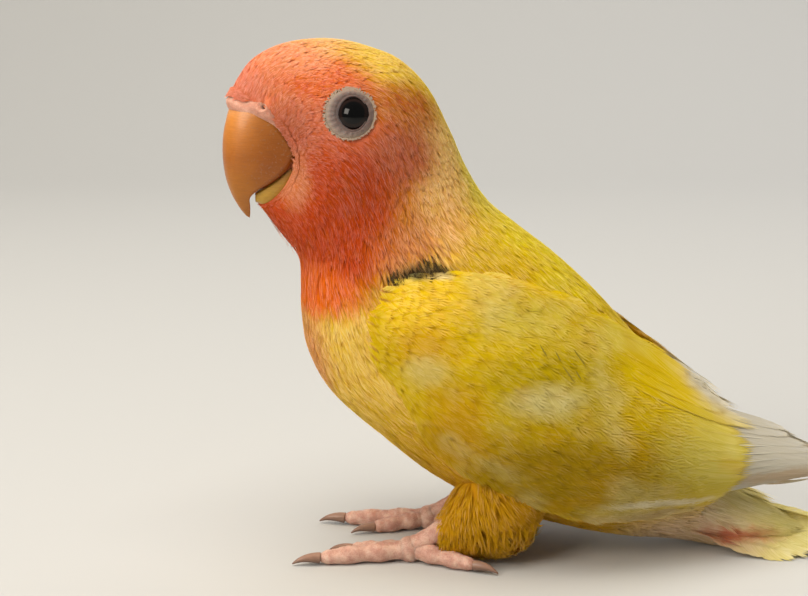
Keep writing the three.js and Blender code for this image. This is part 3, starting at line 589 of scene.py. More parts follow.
# Markings: soft-edged patches of colour, each with its middle (x, |y|, z) and reach in mm,
# how soft its edge is, how strong it is, its colour and how strongly feathers are streaked there.
# Mottles are clouds of colour: scale, range of the noise, strength and colour.

def markingGroup(name, ground, patches, wobble, wobbleScale, mottles=()):
    outputs = {"Color": "NodeSocketColor", "Streaks": "NodeSocketFloat"}
    group, given, result = newGroup(name, {"Place": "NodeSocketVector"}, outputs)
    parts = put(group, "ShaderNodeSeparateXYZ", {0: scaledVector(group, given["Place"], 1 / mm)}).outputs
    mirrored = put(group, "ShaderNodeCombineXYZ", {
        0: parts[0], 1: mathOf(group, "ABSOLUTE", parts[1]), 2: parts[2],
    }).outputs[0]
    drift = put(group, "ShaderNodeTexNoise", {"Vector": mirrored, "Scale": wobbleScale, "Detail": 3.0})
    centred = vectorOf(group, "SUBTRACT", drift.outputs["Color"], (0.5, 0.5, 0.5))
    place = vectorOf(group, "ADD", mirrored, scaledVector(group, centred, wobble))
    colour, streaksAndGapShade = srgb(ground), 0.0
    for middle, reach, soft, strength, shade, streaked in patches:
        away = vectorOf(group, "DIVIDE", vectorOf(group, "SUBTRACT", place, middle), reach)
        mask = mapRange(group, measureOf(group, "LENGTH", away), 1 + soft, max(1 - soft, 0), 0.0, strength)
        colour = mixColour(group, mask, colour, srgb(shade))
        streaksAndGapShade = mixValue(group, mask, streaksAndGapShade, streaked)
    for scale, low, high, strength, shade in mottles:
        clouds = noiseOf(group, vectorOf(group, "ADD", mirrored, (scale * 900, 0, 40)), scale, 1.5)
        colour = mixColour(group, mapRange(group, clouds, low, high, 0.0, strength), colour, srgb(shade))
    group.links.new(colour, result["Color"])
    group.links.new(streaksAndGapShade, result["Streaks"])
    return group


bodyPatches = [
    # mantle, nape and crown
    ((-2, 8, 62), (18, 14, 12), 0.5, 0.7, "F4DC34", 0.0),
    ((-8, 12, 58), (7, 8, 4), 0.6, 0.6, "E8B41C", 0.0),
    ((-13, 4, 76), (7, 8, 13), 0.6, 0.8, "F2DA54", 0.0),
    # breast, its front edge, belly, thigh and vent
    ((-34, 13, 42), (15, 14, 16), 0.5, 1.0, "FFD45C", 0.0),
    ((-31, 11, 27), (11, 14, 9), 0.6, 0.8, "F2C440", 0.0),
    ((-43, 4, 42), (4.5, 9, 10), 0.6, 0.8, "EC965C", 0.1),
    # belly and thigh: darker gold, partly their own colour and partly painted shade of the underside
    ((-12, 12, 18), (20, 15, 13), 0.5, 0.9, "D8A004", 0.0),
    ((-5, 10, 9), (22, 16, 11), 0.5, 1.0, "CC9200", 0.0),
    ((27, 5, 3), (13, 12, 8), 0.5, 0.9, "DDBB94", 0.0),
    ((26, 0, 30), (14, 8, 12), 0.5, 0.9, "E4D8A0", 0.0),
    # neck side
    ((-14, 13, 64), (6, 9, 7), 0.6, 0.8, "E8BC3C", 0.0),
    ((-20, 12, 69), (6, 9, 9), 0.6, 0.95, "FABE6C", 0.1),
    ((-19, 10, 79), (5, 9, 9), 0.6, 0.9, "FCCB78", 0.1),
    # the whole face and throat
    ((-43, 10, 81), (20, 18, 15), 0.3, 1.0, "DF7852", 0.3),
    ((-40, 10, 66), (16.5, 20, 13), 0.35, 1.0, "D05428", 0.3),
    ((-26, 15, 62.5), (6, 9, 5), 0.6, 0.8, "E2935A", 0.1),
    # forehead, brow and lores
    ((-50, 5, 91), (10, 12, 9), 0.5, 1.0, "F59064", 0.5),
    ((-39, 10, 91), (8, 9, 3.8), 0.5, 0.9, "F07C4A", 0.9),
    ((-45, 8, 95.5), (7, 9, 3.5), 0.6, 0.7, "F8A272", 0.4),
    ((-54.5, 6, 88), (3.5, 9, 5), 0.6, 0.7, "F08C70", 0.3),
    ((-37, 4, 99.5), (7, 9, 3.5), 0.6, 0.8, "F4B87A", 0.1),
    ((-26, 4, 97), (9.5, 12, 6.5), 0.5, 0.95, "F6CC58", 0.0),
    ((-46, 11, 80.5), (6, 8, 5.5), 0.6, 0.9, "CE7254", 0.2),
    # round the eye, behind it and on the ear coverts
    ((-35, 13, 79), (7, 8, 5), 0.6, 0.8, "C96444", 0.3),
    ((-25, 11, 87), (8, 8, 4), 0.6, 0.95, "CF7C3C", 1.0),
    ((-26, 13.5, 79), (6.5, 8, 5.5), 0.6, 0.95, "C46A48", 0.6),
    # cheek, throat, chin and bib
    ((-36, 14, 73), (9, 12, 6), 0.5, 0.9, "C04C28", 0.3),
    ((-40, 12, 64), (11, 16, 8), 0.5, 0.9, "CA4A1C", 0.4),
    ((-45.5, 8, 73), (3.5, 6, 4.5), 0.6, 0.85, "DE8C60", 0.1),
    ((-41, 9, 54.5), (9, 14, 4.5), 0.5, 0.95, "F4722E", 0.2),
    # the bend of the wing, where the dark bases of the feathers show
    ((-22, 16.4, 58.3), (4.8, 3.4, 1.5), 0.5, 0.92, "4C4634", 0.0),
    ((-29.2, 17, 43.3), (0.7, 3, 1.9), 0.6, 0.7, "6E5A2A", 0.0),
]
bodyMottles = [(0.5, 0.5, 0.75, 0.1, "B8782C")]
bodyMarkings = markingGroup("bodyMarkings", "EEC82C", bodyPatches, 2.4, 0.3, bodyMottles)
wingPatches = [
    # painted shade: the lower wing darkened to golden brown where its underside lies in shadow
    ((4, 20, 19), (28, 20, 11), 0.6, 0.95, "A48000", 0.0),
    ((2, 21, 38), (13, 8, 7), 0.7, 0.7, "B69C10", 0.0),
    ((-24, 18, 52), (7, 8, 6), 0.6, 0.9, "FCD038", 0.0),
    ((-22, 20, 45), (5, 8, 4), 0.6, 0.8, "E6AE1C", 0.0),
    ((-21.5, 20, 40.5), (4, 6, 3), 0.6, 0.7, "E8D27A", 0.0),
    ((-16, 20, 33), (5, 8, 6), 0.6, 0.8, "DEA800", 0.0),
    ((-13, 18, 52), (7, 8, 4), 0.6, 0.6, "F0C43A", 0.0),
    ((-3, 19, 50), (9, 8, 4), 0.7, 0.7, "E2CE58", 0.0),
    ((0, 21, 35.5), (7, 6, 3), 0.6, 0.8, "DCCC80", 0.0),
    ((13, 13, 45), (9, 8, 3.5), 0.7, 0.5, "EAD868", 0.0),
    ((16, 16, 31), (8, 8, 5), 0.7, 0.5, "DCB824", 0.0),
    ((30, 12, 23), (10, 12, 8), 0.7, 0.8, "CCBC54", 0.0),
    ((-17, 17, 26), (6, 8, 6), 0.6, 0.6, "CC9400", 0.0),
    ((20.5, 16, 13.4), (8.5, 6, 0.9), 0.6, 0.6, "EFE6D2", 0.0),
    ((22, 14, 9.6), (14, 9, 2.2), 0.4, 0.85, "C0A070", 0.0),
    ((34, 3, 33), (14, 6, 7), 0.4, 0.95, "D8CEB2", 0.0),
    ((-19.5, 17, 57.4), (2.5, 4, 0.8), 0.6, 0.5, "F2E4B8", 0.0),
    ((-22.5, 17, 58.6), (4.6, 4, 1.5), 0.5, 0.95, "4C4634", 0.0),
]
wingMottles = [(0.09, 0.5, 0.7, 0.35, "E9DA8C"), (0.14, 0.5, 0.72, 0.3, "D29C10")]
wingMarkings = markingGroup("wingMarkings", "EAC41C", wingPatches, 4.0, 0.2, wingMottles)
tailPatches = [
    ((30, 4, 3), (11, 12, 9), 0.6, 0.9, "DBBB98", 0.2),
    ((38, 8, 4.6), (7, 7, 1.4), 0.7, 0.75, "D4603A", 0.6),
    ((60, 4, 2), (4, 12, 6), 0.6, 0.8, "E08A44", 0.3),
]
tailMarkings = markingGroup("tailMarkings", "EADA84", tailPatches, 4.0, 0.3, [(0.3, 0.5, 0.7, 0.3, "F0E2AC")])
primaryPatches = [
    ((45, 8, 16.5), (14, 8, 1.6), 0.6, 0.6, "BE9C70", 0.0),
    ((20, 4, 42), (14, 5, 8), 0.5, 0.7, "C9AE7C", 0.0),
]
primaryMarkings = markingGroup("primaryMarkings", "C8C0AA", primaryPatches, 3.0, 0.3)


def plumage(name, markings, settings):
    material, tree, shader = newMaterial(
        name, Roughness=settings["roughness"], Specular_IOR_Level=settings["shine"],
        Subsurface_Weight=settings["glow"], Subsurface_Scale=settings["glowDepth"],
    )
    shader["Subsurface Radius"].default_value = (1.0, 0.7, 0.35)
    onSkin = settings.get("onSkin", False)
    place = put(tree, "ShaderNodeTexCoord", {}).outputs["Object"]
    if not onSkin:
        away = vectorOf(tree, "SUBTRACT", place, attributeOf(tree, "rootPlace", "Vector"))
        place = vectorOf(tree, "SUBTRACT", place, scaledVector(tree, away, settings["fromRoot"]))
    marks = put(tree, "ShaderNodeGroup", {"Place": place}, node_tree=markings).outputs
    colour = marks["Color"]
    if not onSkin:
        toned, barbed = attributeOf(tree, "tone"), attributeOf(tree, "barbTone")
        # only the darker feathers and barbs are streaked
        streak = mathOf(tree, "MULTIPLY", mapRange(tree, toned, 0.2, 0.8), marks["Streaks"])
        streak = mathOf(tree, "MULTIPLY", streak, mapRange(tree, barbed, -0.6, 0.8, 0.4, 1.0))
        colour = mixColour(tree, streak, colour, srgb(settings["streakShade"]), "MULTIPLY")
        tone = mathOf(tree, "MULTIPLY", toned, settings["toneStrength"])
        barb = mathOf(tree, "MULTIPLY", barbed, settings["barbStrength"])
        tip = settings["tipStrength"]
        along = mapRange(tree, attributeOf(tree, "along"), 0.3, 1.0, -tip, tip)
        value = mathOf(tree, "ADD", mathOf(tree, "ADD", tone, barb), mathOf(tree, "ADD", along, 1.0))
        paler = mathOf(tree, "MULTIPLY", mathOf(tree, "ADD", along, barb), 0.8)
        sockets = {"Color": colour, "Value": value, "Saturation": mathOf(tree, "SUBTRACT", 1.0, paler)}
        colour = put(tree, "ShaderNodeHueSaturation", sockets).outputs[0]
    tree.links.new(colour, shader["Base Color"])
    return material


softFinish = {
    "roughness": 0.75, "shine": 0.15, "glow": 0.3, "glowDepth": 0.0007, "fromRoot": 0.5,
    "streakShade": "E0A088", "toneStrength": 0.05, "barbStrength": 0.09, "tipStrength": 0.05,
}
wingFinish = {
    **softFinish, "shine": 0.1, "fromRoot": 0.15, "toneStrength": 0.03, "barbStrength": 0.05,
    "tipStrength": 0.03,
}
bodyPlumage = plumage("bodyPlumage", bodyMarkings, softFinish)
wingPlumage = plumage("wingPlumage", wingMarkings, wingFinish)
skinFinish = plumage("underPlumage", bodyMarkings, {**softFinish, "onSkin": True})
wingSkinFinish = plumage("underWing", wingMarkings, {**wingFinish, "onSkin": True})
tailPlumage = plumage("tailPlumage", tailMarkings, {**wingFinish, "barbStrength": 0.08})
tailSkinFinish = plumage("underTail", tailMarkings, {**wingFinish, "onSkin": True})
primaryVane = plumage("primaryVane", primaryMarkings, wingFinish)
print("materials ready")


# The eye's place, used by the coat as well

eye = {
    "rung": 5.6, "angleDeg": 69, "ball": 4.1, "openHalfWidth": 2.25, "openHalfHeight": 2.95,
    "ringAhead": 2.15, "ringAbove": 1.45, "shiftAhead": 0.7, "rise": 0.5,
}


def eyeFrame(side):
    angle = np.array(side * math.radians(eye["angleDeg"]))
    rung = np.array(eye["rung"])
    alongP, alongQ, outward = framesOf(bodyAt, rung, angle, 1)
    ahead = np.array([-1.0, 0, 0])
    ahead = unit(ahead - ahead.dot(outward) * outward)
    upward = unit(np.cross(ahead, outward)) * side
    return bodyAt(rung, angle), outward, ahead, upward


def eyeCentre(side):
    # the middle of the ball behind the opening
    middle, outward, _, _ = eyeFrame(side)
    opening = (eye["openHalfWidth"] + eye["openHalfHeight"]) / 2
    return middle - outward * (math.sqrt(eye["ball"] ** 2 - opening ** 2) - eye["rise"])


def eyeSpots(side, ahead, above):
    # rungs and angles of the places that lie so far ahead of the eye's middle and above it
    middle, outward, forward, upward = eyeFrame(side)
    wanted = middle + np.multiply.outer(ahead, forward) + np.multiply.outer(above, upward)
    rungs = np.full(np.shape(ahead), float(eye["rung"]))
    angles = np.full(np.shape(ahead), side * math.radians(eye["angleDeg"]))
    for _ in range(4):
        alongP, alongQ, _ = framesOf(bodyAt, rungs, angles, 1)
        gap = wanted - bodyAt(rungs, angles)
        gap -= (gap @ outward)[..., None] * outward
        stepP, stepQ = stepFor(alongP, alongQ, gap)
        rungs, angles = rungs + stepP, angles + stepQ
    return rungs, angles


def aroundEye(places):
    # how far a place is from the eye's middle, as a share of the ring's size, and the way out
    share = np.full(places.shape[:-1], 9.0)
    way = np.zeros(places.shape)
    for side in (-1, 1):
        middle, outward, forward, upward = eyeFrame(side)
        offset = places - middle
        ahead = offset @ forward - eye["shiftAhead"]
        above = offset @ upward
        x = ahead / (eye["openHalfWidth"] + eye["ringAhead"])
        z = above / (eye["openHalfHeight"] + eye["ringAbove"])
        near = (np.hypot(x, z) < share) & (places[..., 1] * side > 0)
        share = np.where(near, np.hypot(x, z), share)
        out = unit(x[..., None] * forward + z[..., None] * upward)
        way = np.where(near[..., None], out, way)
    return share, way


# Horn, bare skin, eyes and feet

def ramp(tree, value, stops):
    node = put(tree, "ShaderNodeValToRGB", {0: value})
    band = node.color_ramp
    while len(band.elements) < len(stops):
        band.elements.new(0.5)
    for element, (position, shade) in zip(band.elements, stops):
        element.position = position
        element.color = srgb(shade)
    return node.outputs[0]


def objectPlace(tree):
    # the place on the object in mm
    return scaledVector(tree, put(tree, "ShaderNodeTexCoord", {}).outputs["Object"], 1 / mm)


def bumpOf(tree, height, distance):
    return put(tree, "ShaderNodeBump", {"Height": height, "Distance": distance, "Strength": 1.0}).outputs[0]


def hornOf(name, stops, settings):
    # growth lines and soft clouds of colour over the heights of the horn
    material, tree, shader = newMaterial(
        name, Roughness=settings["roughness"], Coat_Weight=settings["gloss"], Coat_Roughness=0.22,
        Specular_IOR_Level=0.3, Subsurface_Weight=0.15, Subsurface_Scale=0.0015,
    )
    shader["Subsurface Radius"].default_value = (1.0, 0.5, 0.2)
    place = objectPlace(tree)
    parts = put(tree, "ShaderNodeSeparateXYZ", {0: place}).outputs
    low, high = settings["heights"]
    clouds = noiseOf(tree, place, settings["cloudScale"], 3.0)
    drift = mapRange(tree, clouds, 0, 1, -settings["clouds"], settings["clouds"], "LINEAR")
    height = mathOf(tree, "ADD", parts[2], drift)
    colour = ramp(tree, mapRange(tree, height, low, high, 0.0, 1.0, "LINEAR"), stops)
    nearFace, farFace = settings["depths"]
    inner = mapRange(tree, mathOf(tree, "ADD", parts[0], drift), farFace, nearFace)
    deep = mathOf(tree, "MULTIPLY", inner, settings["inner"])
    colour = mixColour(tree, deep, colour, srgb(settings["innerShade"]))
    flecks = mapRange(tree, noiseOf(tree, place, 2.2, 3.0), 0.55, 0.7)
    flecks = mathOf(tree, "MULTIPLY", flecks, mathOf(tree, "MULTIPLY", inner, 0.6 * settings["inner"]))
    colour = mixColour(tree, flecks, colour, srgb(settings["fleckShade"]))
    lines = noiseOf(tree, vectorOf(tree, "MULTIPLY", place, (0.5, 0.5, 4.0)), 1.2, 4.0, 0.6)
    shade = mapRange(tree, lines, 0.35, 0.65, 1 - settings["lines"], 1 + settings["lines"])
    colour = put(tree, "ShaderNodeHueSaturation", {"Color": colour, "Value": shade}).outputs[0]
    tree.links.new(colour, shader["Base Color"])
    tree.links.new(bumpOf(tree, lines, 0.00006), shader["Normal"])
    return material


# the upper bill pales towards its top by the cere, a painted highlight
hornMaterial = hornOf("billHorn", [
    (0.0, "A06000"), (0.25, "AA6600"), (0.55, "A45C08"), (0.85, "D08438"), (1.0, "E8A468"),
], {
    "roughness": 0.42, "gloss": 0.35, "heights": (65, 87), "clouds": 2.5, "cloudScale": 0.25, "lines": 0.05,
    "depths": (-48, -58), "inner": 0.8, "innerShade": "824406", "fleckShade": "8E6C50",
})
lowerHornMaterial = hornOf("lowerBillHorn", [(0.0, "B08A28"), (0.6, "BA9034"), (1.0, "8A5A20")], {
    "roughness": 0.45, "gloss": 0.25, "heights": (67, 75), "clouds": 1.0, "cloudScale": 0.4, "lines": 0.06,
    "depths": (-46, -52), "inner": 0.3, "innerShade": "8E6A2A", "fleckShade": "8E6C50",
})
clawMaterial = hornOf("clawHorn", [(0.0, "5E463A"), (0.5, "8A6A58"), (1.0, "A98672")], {
    "roughness": 0.4, "gloss": 0.3, "heights": (0, 3), "clouds": 0.5, "cloudScale": 0.6, "lines": 0.08,
    "depths": (100, -100), "inner": 0.0, "innerShade": "8A6A58", "fleckShade": "8E6C50",
})


def skinOf(name, shades, settings):
    # bare skin with a fine grain, small folds and, where given, painted shade in its pits
    material, tree, shader = newMaterial(
        name, Roughness=settings["roughness"], Subsurface_Weight=0.25, Subsurface_Scale=0.0012,
    )
    shader["Subsurface Radius"].default_value = (1.0, 0.4, 0.25)
    place = objectPlace(tree)
    clouds = noiseOf(tree, place, settings["cloudScale"], 3.0)
    grain = noiseOf(tree, place, settings["grainScale"], 4.0, 0.6)
    mixed = mathOf(tree, "ADD", mathOf(tree, "MULTIPLY", clouds, 0.6), mathOf(tree, "MULTIPLY", grain, 0.4))
    colour = ramp(tree, mapRange(tree, mixed, 0.3, 0.7), list(zip((0.0, 0.5, 1.0), shades)))
    if "hollow" in settings:
        colour = mixColour(tree, attributeOf(tree, "hollow"), colour, srgb(settings["hollow"]))
    tree.links.new(colour, shader["Base Color"])
    tree.links.new(bumpOf(tree, grain, settings["bump"]), shader["Normal"])
    return material


# the cere's nostril pits are darkened through a mask: painted shade in the pits
cereMaterial = skinOf("cereSkin", ("B47C66", "CA927A", "DAA994"), {
    "roughness": 0.55, "cloudScale": 0.5, "grainScale": 5.0, "bump": 0.00008, "hollow": "3A221C",
})
footMaterial = skinOf("footSkin", ("B27F6E", "C99C8A", "DDBBA6"), {
    "roughness": 0.55, "cloudScale": 0.6, "grainScale": 5.0, "bump": 0.0001,
})
fringePlumage, _, _ = newMaterial("eyeFringe", Roughness=0.8, Base_Color=srgb("A8937F"))
darkPlumage, _, _ = newMaterial(
    "darkBristles", Roughness=0.9, Base_Color=srgb("4A3D26"), Specular_IOR_Level=0.1,
)
quillPlumage, _, _ = newMaterial("paleQuills", Roughness=0.6, Base_Color=srgb("EBC8BA"))
# dark olive colour of the blades that paint the shade between the barbs of the coverts
gapShadowPlumage, _, _ = newMaterial("paintedGapShade", Roughness=0.8, Base_Color=srgb("94801C"))


def eyeMaterialFor(side):
    # a wide black pupil in a dark brown iris under a clear wet cornea
    material, tree, shader = newMaterial(f"eyeBall_{side + 1}", Roughness=0.08, Specular_IOR_Level=0.25)
    away = vectorOf(tree, "SUBTRACT", objectPlace(tree), tuple(eyeCentre(side)))
    away = vectorOf(tree, "NORMALIZE", away)
    facing = measureOf(tree, "DOT_PRODUCT", away, tuple(eyeFrame(side)[1]))
    fibres = noiseOf(tree, objectPlace(tree), 3.0, 4.0)
    wavy = mathOf(tree, "ADD", facing, mapRange(tree, fibres, 0, 1, -0.01, 0.01, "LINEAR"))
    colour = ramp(tree, wavy, [
        (0.74, "0C0706"), (0.80, "1A0E0B"), (0.86, "1C0F0B"), (0.89, "050404"), (1.0, "030303"),
    ])
    tree.links.new(colour, shader["Base Color"])
    return material


def ringMaterialFor(side):
    # grey skin near the lid, paler outwards, with fine folds
    middle, _, forward, upward = eyeFrame(side)
    material, tree, shader = newMaterial(
        f"eyeRing_{side + 1}", Roughness=0.5, Subsurface_Weight=0.2, Subsurface_Scale=0.001,
    )
    offset = vectorOf(tree, "SUBTRACT", objectPlace(tree), tuple(middle + forward * eye["shiftAhead"] * 0.5))
    ahead = measureOf(tree, "DOT_PRODUCT", offset, tuple(forward))
    above = measureOf(tree, "DOT_PRODUCT", offset, tuple(upward))
    reach = (eye["openHalfWidth"] + eye["ringAhead"], eye["openHalfHeight"] + eye["ringAbove"])
    x = mathOf(tree, "POWER", mathOf(tree, "DIVIDE", ahead, reach[0]), 2.0)
    z = mathOf(tree, "POWER", mathOf(tree, "DIVIDE", above, reach[1]), 2.0)
    out = mathOf(tree, "SQRT", mathOf(tree, "ADD", x, z))
    grain = noiseOf(tree, objectPlace(tree), 4.0, 3.0)
    out = mathOf(tree, "ADD", out, mapRange(tree, grain, 0, 1, -0.04, 0.04, "LINEAR"))
    stops = [(0.0, "241A18"), (0.54, "33282A"), (0.62, "5A4843"), (0.84, "6E5C55"), (0.96, "8E7C6E")]
    tree.links.new(ramp(tree, out, stops), shader["Base Color"])
    tree.links.new(bumpOf(tree, grain, 0.00008), shader["Normal"])
    return material


eyeMaterials = {side: eyeMaterialFor(side) for side in sideNames}
ringMaterials = {side: ringMaterialFor(side) for side in sideNames}


# Where the wings lie over the body

wingSides = {side: wingSurface(side) for side in sideNames}
# The sampled part of the wing, and where a place counts as hidden under it.
cover = {
    "end": 7.0, "rows": 60, "columns": 24, "foremost": -32, "margin": 0.8, "edges": (0.06, 0.96),
    "above": 0.2, "reach": 9,
}
wingTree = KDTree(2 * cover["rows"] * cover["columns"])
wingSpots = []
for side, wingAt in wingSides.items():
    along, across = np.meshgrid(
        np.linspace(0.0, cover["end"], cover["rows"]), np.linspace(0, 1, cover["columns"]), indexing="ij",
    )
    _, _, outward = framesOf(wingAt, along, across, side)
    spots = wingAt(along, across)
    for spot, way, a, c in zip(spots.reshape(-1, 3), outward.reshape(-1, 3), along.ravel(), across.ravel()):
        wingTree.insert(spot, len(wingSpots))
        wingSpots.append((spot, way, a, c))
wingTree.balance()


def underWing(places):
    hidden = np.zeros(len(places), bool)
    low, high = cover["edges"]
    for index, place in enumerate(places):
        if place[0] < cover["foremost"]:
            continue
        _, i, distance = wingTree.find(place)
        spot, way, along, across = wingSpots[i]
        inner = along > cover["margin"] and low < across < high
        below = (place - spot).dot(way) < cover["above"]
        hidden[index] = inner and below and distance < cover["reach"]
    return hidden


# The skin: body and thighs as one form under the coat

skin = {
    "headDepth": 0.42, "bodyDepth": 0.65, "thighDepth": 1.0, "voxel": 0.6, "bodySides": 96,
    "ringsPerRung": 6, "thighSides": 48, "thighRings": 31,
}
legSides = {-1: 0, 1: pose["rightFootBack"]}


def coatDepth(rung):
    return blendOf(skin["headDepth"], skin["bodyDepth"], smoothStep(rung, 6, 13))


def skinParts():
    last = len(bodyRungs) - 1
    rungs = np.linspace(0, last, last * skin["ringsPerRung"] + 1)
    angles = np.arange(skin["bodySides"]) / skin["bodySides"] * 2 * np.pi
    grid = np.meshgrid(rungs, angles, indexing="ij")
    depth = coatDepth(grid[0]) * smoothStep(grid[0], -1.0, 0.8)
    parts = [loft(bodyAt(grid[0], grid[1], -depth))]
    places = np.linspace(0, len(thighRungs) - 1, skin["thighRings"])
    turns = np.arange(skin["thighSides"]) / skin["thighSides"] * 2 * np.pi
    for side, back in legSides.items():
        thighAt = thighSurface(side, back)
        parts.append(loft(thighAt(*np.meshgrid(places, turns, indexing="ij"), -skin["thighDepth"])))
    return [outwardFaces(*part) for part in parts]


skinPiece = makeMesh("skin", *joinParts(skinParts()), skinFinish)
remesh = skinPiece.modifiers.new("join", "REMESH")
remesh.mode = "VOXEL"
remesh.voxel_size = skin["voxel"] * mm
remesh.use_smooth_shade = True
evaluated = bpy.data.meshes.new_from_object(skinPiece.evaluated_get(bpy.context.evaluated_depsgraph_get()))
skinPiece.modifiers.clear()
skinPiece.data = evaluated
skinPiece.data.materials.clear()
skinPiece.data.materials.append(skinFinish)
addPiece(skinPiece, "body_feathers", "head", "neck", "torso", "thigh_left", "thigh_right")
print("skin", len(skinPiece.data.polygons), "faces")


# The coat of the head and body

headLook = {
    "barbs": 2, "reach": 0.7, "widest": 0.62, "base": 0.5, "shaft": 0, "barbWidth": 0.22, "thickness": 0.03,
    "ragged": 0.16, "fluff": 0.03, "rootLift": -0.5, "tipLift": 0.0, "arch": 2.6, "camber": 0.05,
    "roundness": 0.3, "stations": 3,
}
coatLooks = {
    "face": {**headLook, "rungs": (0.02, 4.6), "spacing": 0.5, "length": 2.4, "halfWidth": 0.46},
    "head": {
        **headLook, "rungs": (4.6, 9.6), "spacing": 0.6, "length": 3.4, "halfWidth": 0.58, "rootLift": -0.6,
    },
    "neck": {
        **headLook, "rungs": (9.6, 13.2), "spacing": 0.92, "length": 5.0, "halfWidth": 0.95, "barbs": 4,
        "reach": 0.62, "barbWidth": 0.25, "rootLift": -0.7, "tipLift": 0.05, "fluff": 0.04,
    },
    "body": {
        **headLook, "rungs": (13.2, 20.3), "spacing": 1.3, "length": 7.4, "halfWidth": 1.6, "barbs": 8,
        "reach": 0.52, "barbWidth": 0.3, "rootLift": -0.9, "tipLift": 0.08, "fluff": 0.05, "stations": 4,
    },
}
bodyUnwrap = {"from": (-0.5, -np.pi), "to": (21, np.pi), "at": (0.02, 0.02), "size": (0.96, 0.96)}
nostril = {"rung": 0.2, "angleDeg": 43, "lift": 0.45, "clear": 1.15}
# How feathers part round the eye, and where those of the belly stand off.
parting = {"stray": 0.12, "fade": 0.35, "inward": 0.15, "rootsClear": 1.0, "tipsClear": 0.97}
looseBelly = {"behind": (-5, 15), "down": (-14, -5), "lift": 0.7}


def nostrilSpot(side):
    return bodyAt(nostril["rung"], side * math.radians(nostril["angleDeg"]), nostril["lift"])


def bodyFlow(roots, places):
    # feathers lie towards the tail and part round the eye
    alongP, _, _ = framesOf(bodyAt, roots[:, 0], roots[:, 1], 1)
    flow = unit(alongP)
    flow = unit(flow + rng.normal(0, parting["stray"], flow.shape))
    share, way = aroundEye(places)
    near = np.exp(-np.clip(share - 1, 0, None) / parting["fade"])[:, None]
    inward = np.minimum((flow * way).sum(-1, keepdims=True), parting["inward"])
    return unit(flow - (inward - parting["inward"] * near) * way * near)


def growBodyCoat(name):
    look = dict(coatLooks[name])
    low, high = look["rungs"]

    def keep(rung, angle, places):
        share, _ = aroundEye(places)
        toNostril = [np.linalg.norm(places - nostrilSpot(side), axis=-1) for side in sideNames]
        return (share > parting["rootsClear"]) & (np.minimum(*toNostril) > nostril["clear"])

    roots, places = scatter(bodyAt, 1, (low, -np.pi), (high, np.pi), evenly(look["spacing"]), keep)
    shown = ~underWing(places)
    roots, places = roots[shown], places[shown]
    length = look["length"] * rng.uniform(0.85, 1.15, len(roots))
    tips = tipsFrom(bodyAt, 1, roots, length, bodyFlow(roots, places))
    share, _ = aroundEye(bodyAt(tips[:, 0], tips[:, 1]))
    clear = share > parting["tipsClear"]
    roots, tips, places = roots[clear], tips[clear], places[clear]
    if name == "body":
        loose = smoothStep(places[:, 0], *looseBelly["behind"])
        loose = loose * smoothStep(-places[:, 2], *looseBelly["down"])
        look["tipLift"] = (look["tipLift"] + looseBelly["lift"] * loose)[:, None, None]
    batch = growFeathers(bodyAt, 1, roots, tips, look, bodyUnwrap)
    makeCoat(f"{name}Coat", [batch], bodyPlumage, "face_feathers" if high < 10 else f"{name}_feathers")


for name in coatLooks:
    growBodyCoat(name)

hairLook = {
    **headLook, "barbs": 1, "barbWidth": 0.16, "halfWidth": 0.25, "rootLift": -0.2, "tipLift": 0.5,
    "arch": 1.2, "lengths": (0.6, 1.2),
}
looseTufts = [
    # name, rungs, angles in degrees, count, flow, material and look
    ("cereTufts", (0.1, 0.5), (0, 30), 110, (-1.0, 0.0, -0.5), bodyPlumage,
     {"length": 1.5, "barbs": 2, "barbWidth": 0.18, "halfWidth": 0.3, "tipLift": 0.8}),
    ("gapeTufts", (0.0, 0.6), (58, 112), 190, (-1.0, 0.0, -0.4), bodyPlumage,
     {"length": 1.5, "barbs": 2, "barbWidth": 0.2, "halfWidth": 0.35, "tipLift": 0.75}),
    ("chinTufts", (0.0, 0.7), (106, 165), 220, (-1.0, 0.0, 0.25), bodyPlumage,
     {"length": 2.8, "barbs": 2, "barbWidth": 0.2, "halfWidth": 0.4, "tipLift": 1.3}),
    ("throatQuills", (1.5, 5.5), (166, 180), 7, (0.1, 0.0, -1.0), quillPlumage,
     {"length": 3.6, "blade": "long", "barbWidth": 0.16, "halfWidth": 0.12, "tipLift": 0.8}),
    ("notchBristles", (11.3, 11.9), (70, 97), 170, (0.3, 0.0, -1.0), darkPlumage,
     {"length": 2.1, "barbWidth": 0.09, "halfWidth": 0.15, "tipLift": 1.1, "rootLift": 0.2}),
    ("notchHairs", (10.6, 11.5), (62, 102), 80, (0.25, 0.0, -1.0), bodyPlumage,
     {"length": 3.2, "barbWidth": 0.15, "tipLift": 1.3, "rootLift": 0.0}),
]
for name, rungs, angles, count, flow, material, special in looseTufts:
    batches = []
    for side in sideNames:
        roots = np.stack([rng.uniform(*rungs, count), side * np.radians(rng.uniform(*angles, count))], -1)
        flows = np.array(flow) + rng.normal(0, 0.15, (count, 3))
        batches.append(growTufts(bodyAt, 1, roots, flows, {**hairLook, **special}, bodyUnwrap))
    slotName = "body_feathers" if rungs[0] > 10 else "face_feathers"
    makeCoat(name, batches, material, slotName)


# The coat of the thighs

thighLook = {
    **headLook, "spacing": 0.95, "length": 5.4, "halfWidth": 0.95, "barbs": 4, "barbWidth": 0.24,
    "ragged": 0.25, "fluff": 0.12, "rootLift": -0.9, "tipLift": 0.3, "arch": 1.8, "lengths": (0.7, 1.2),
}
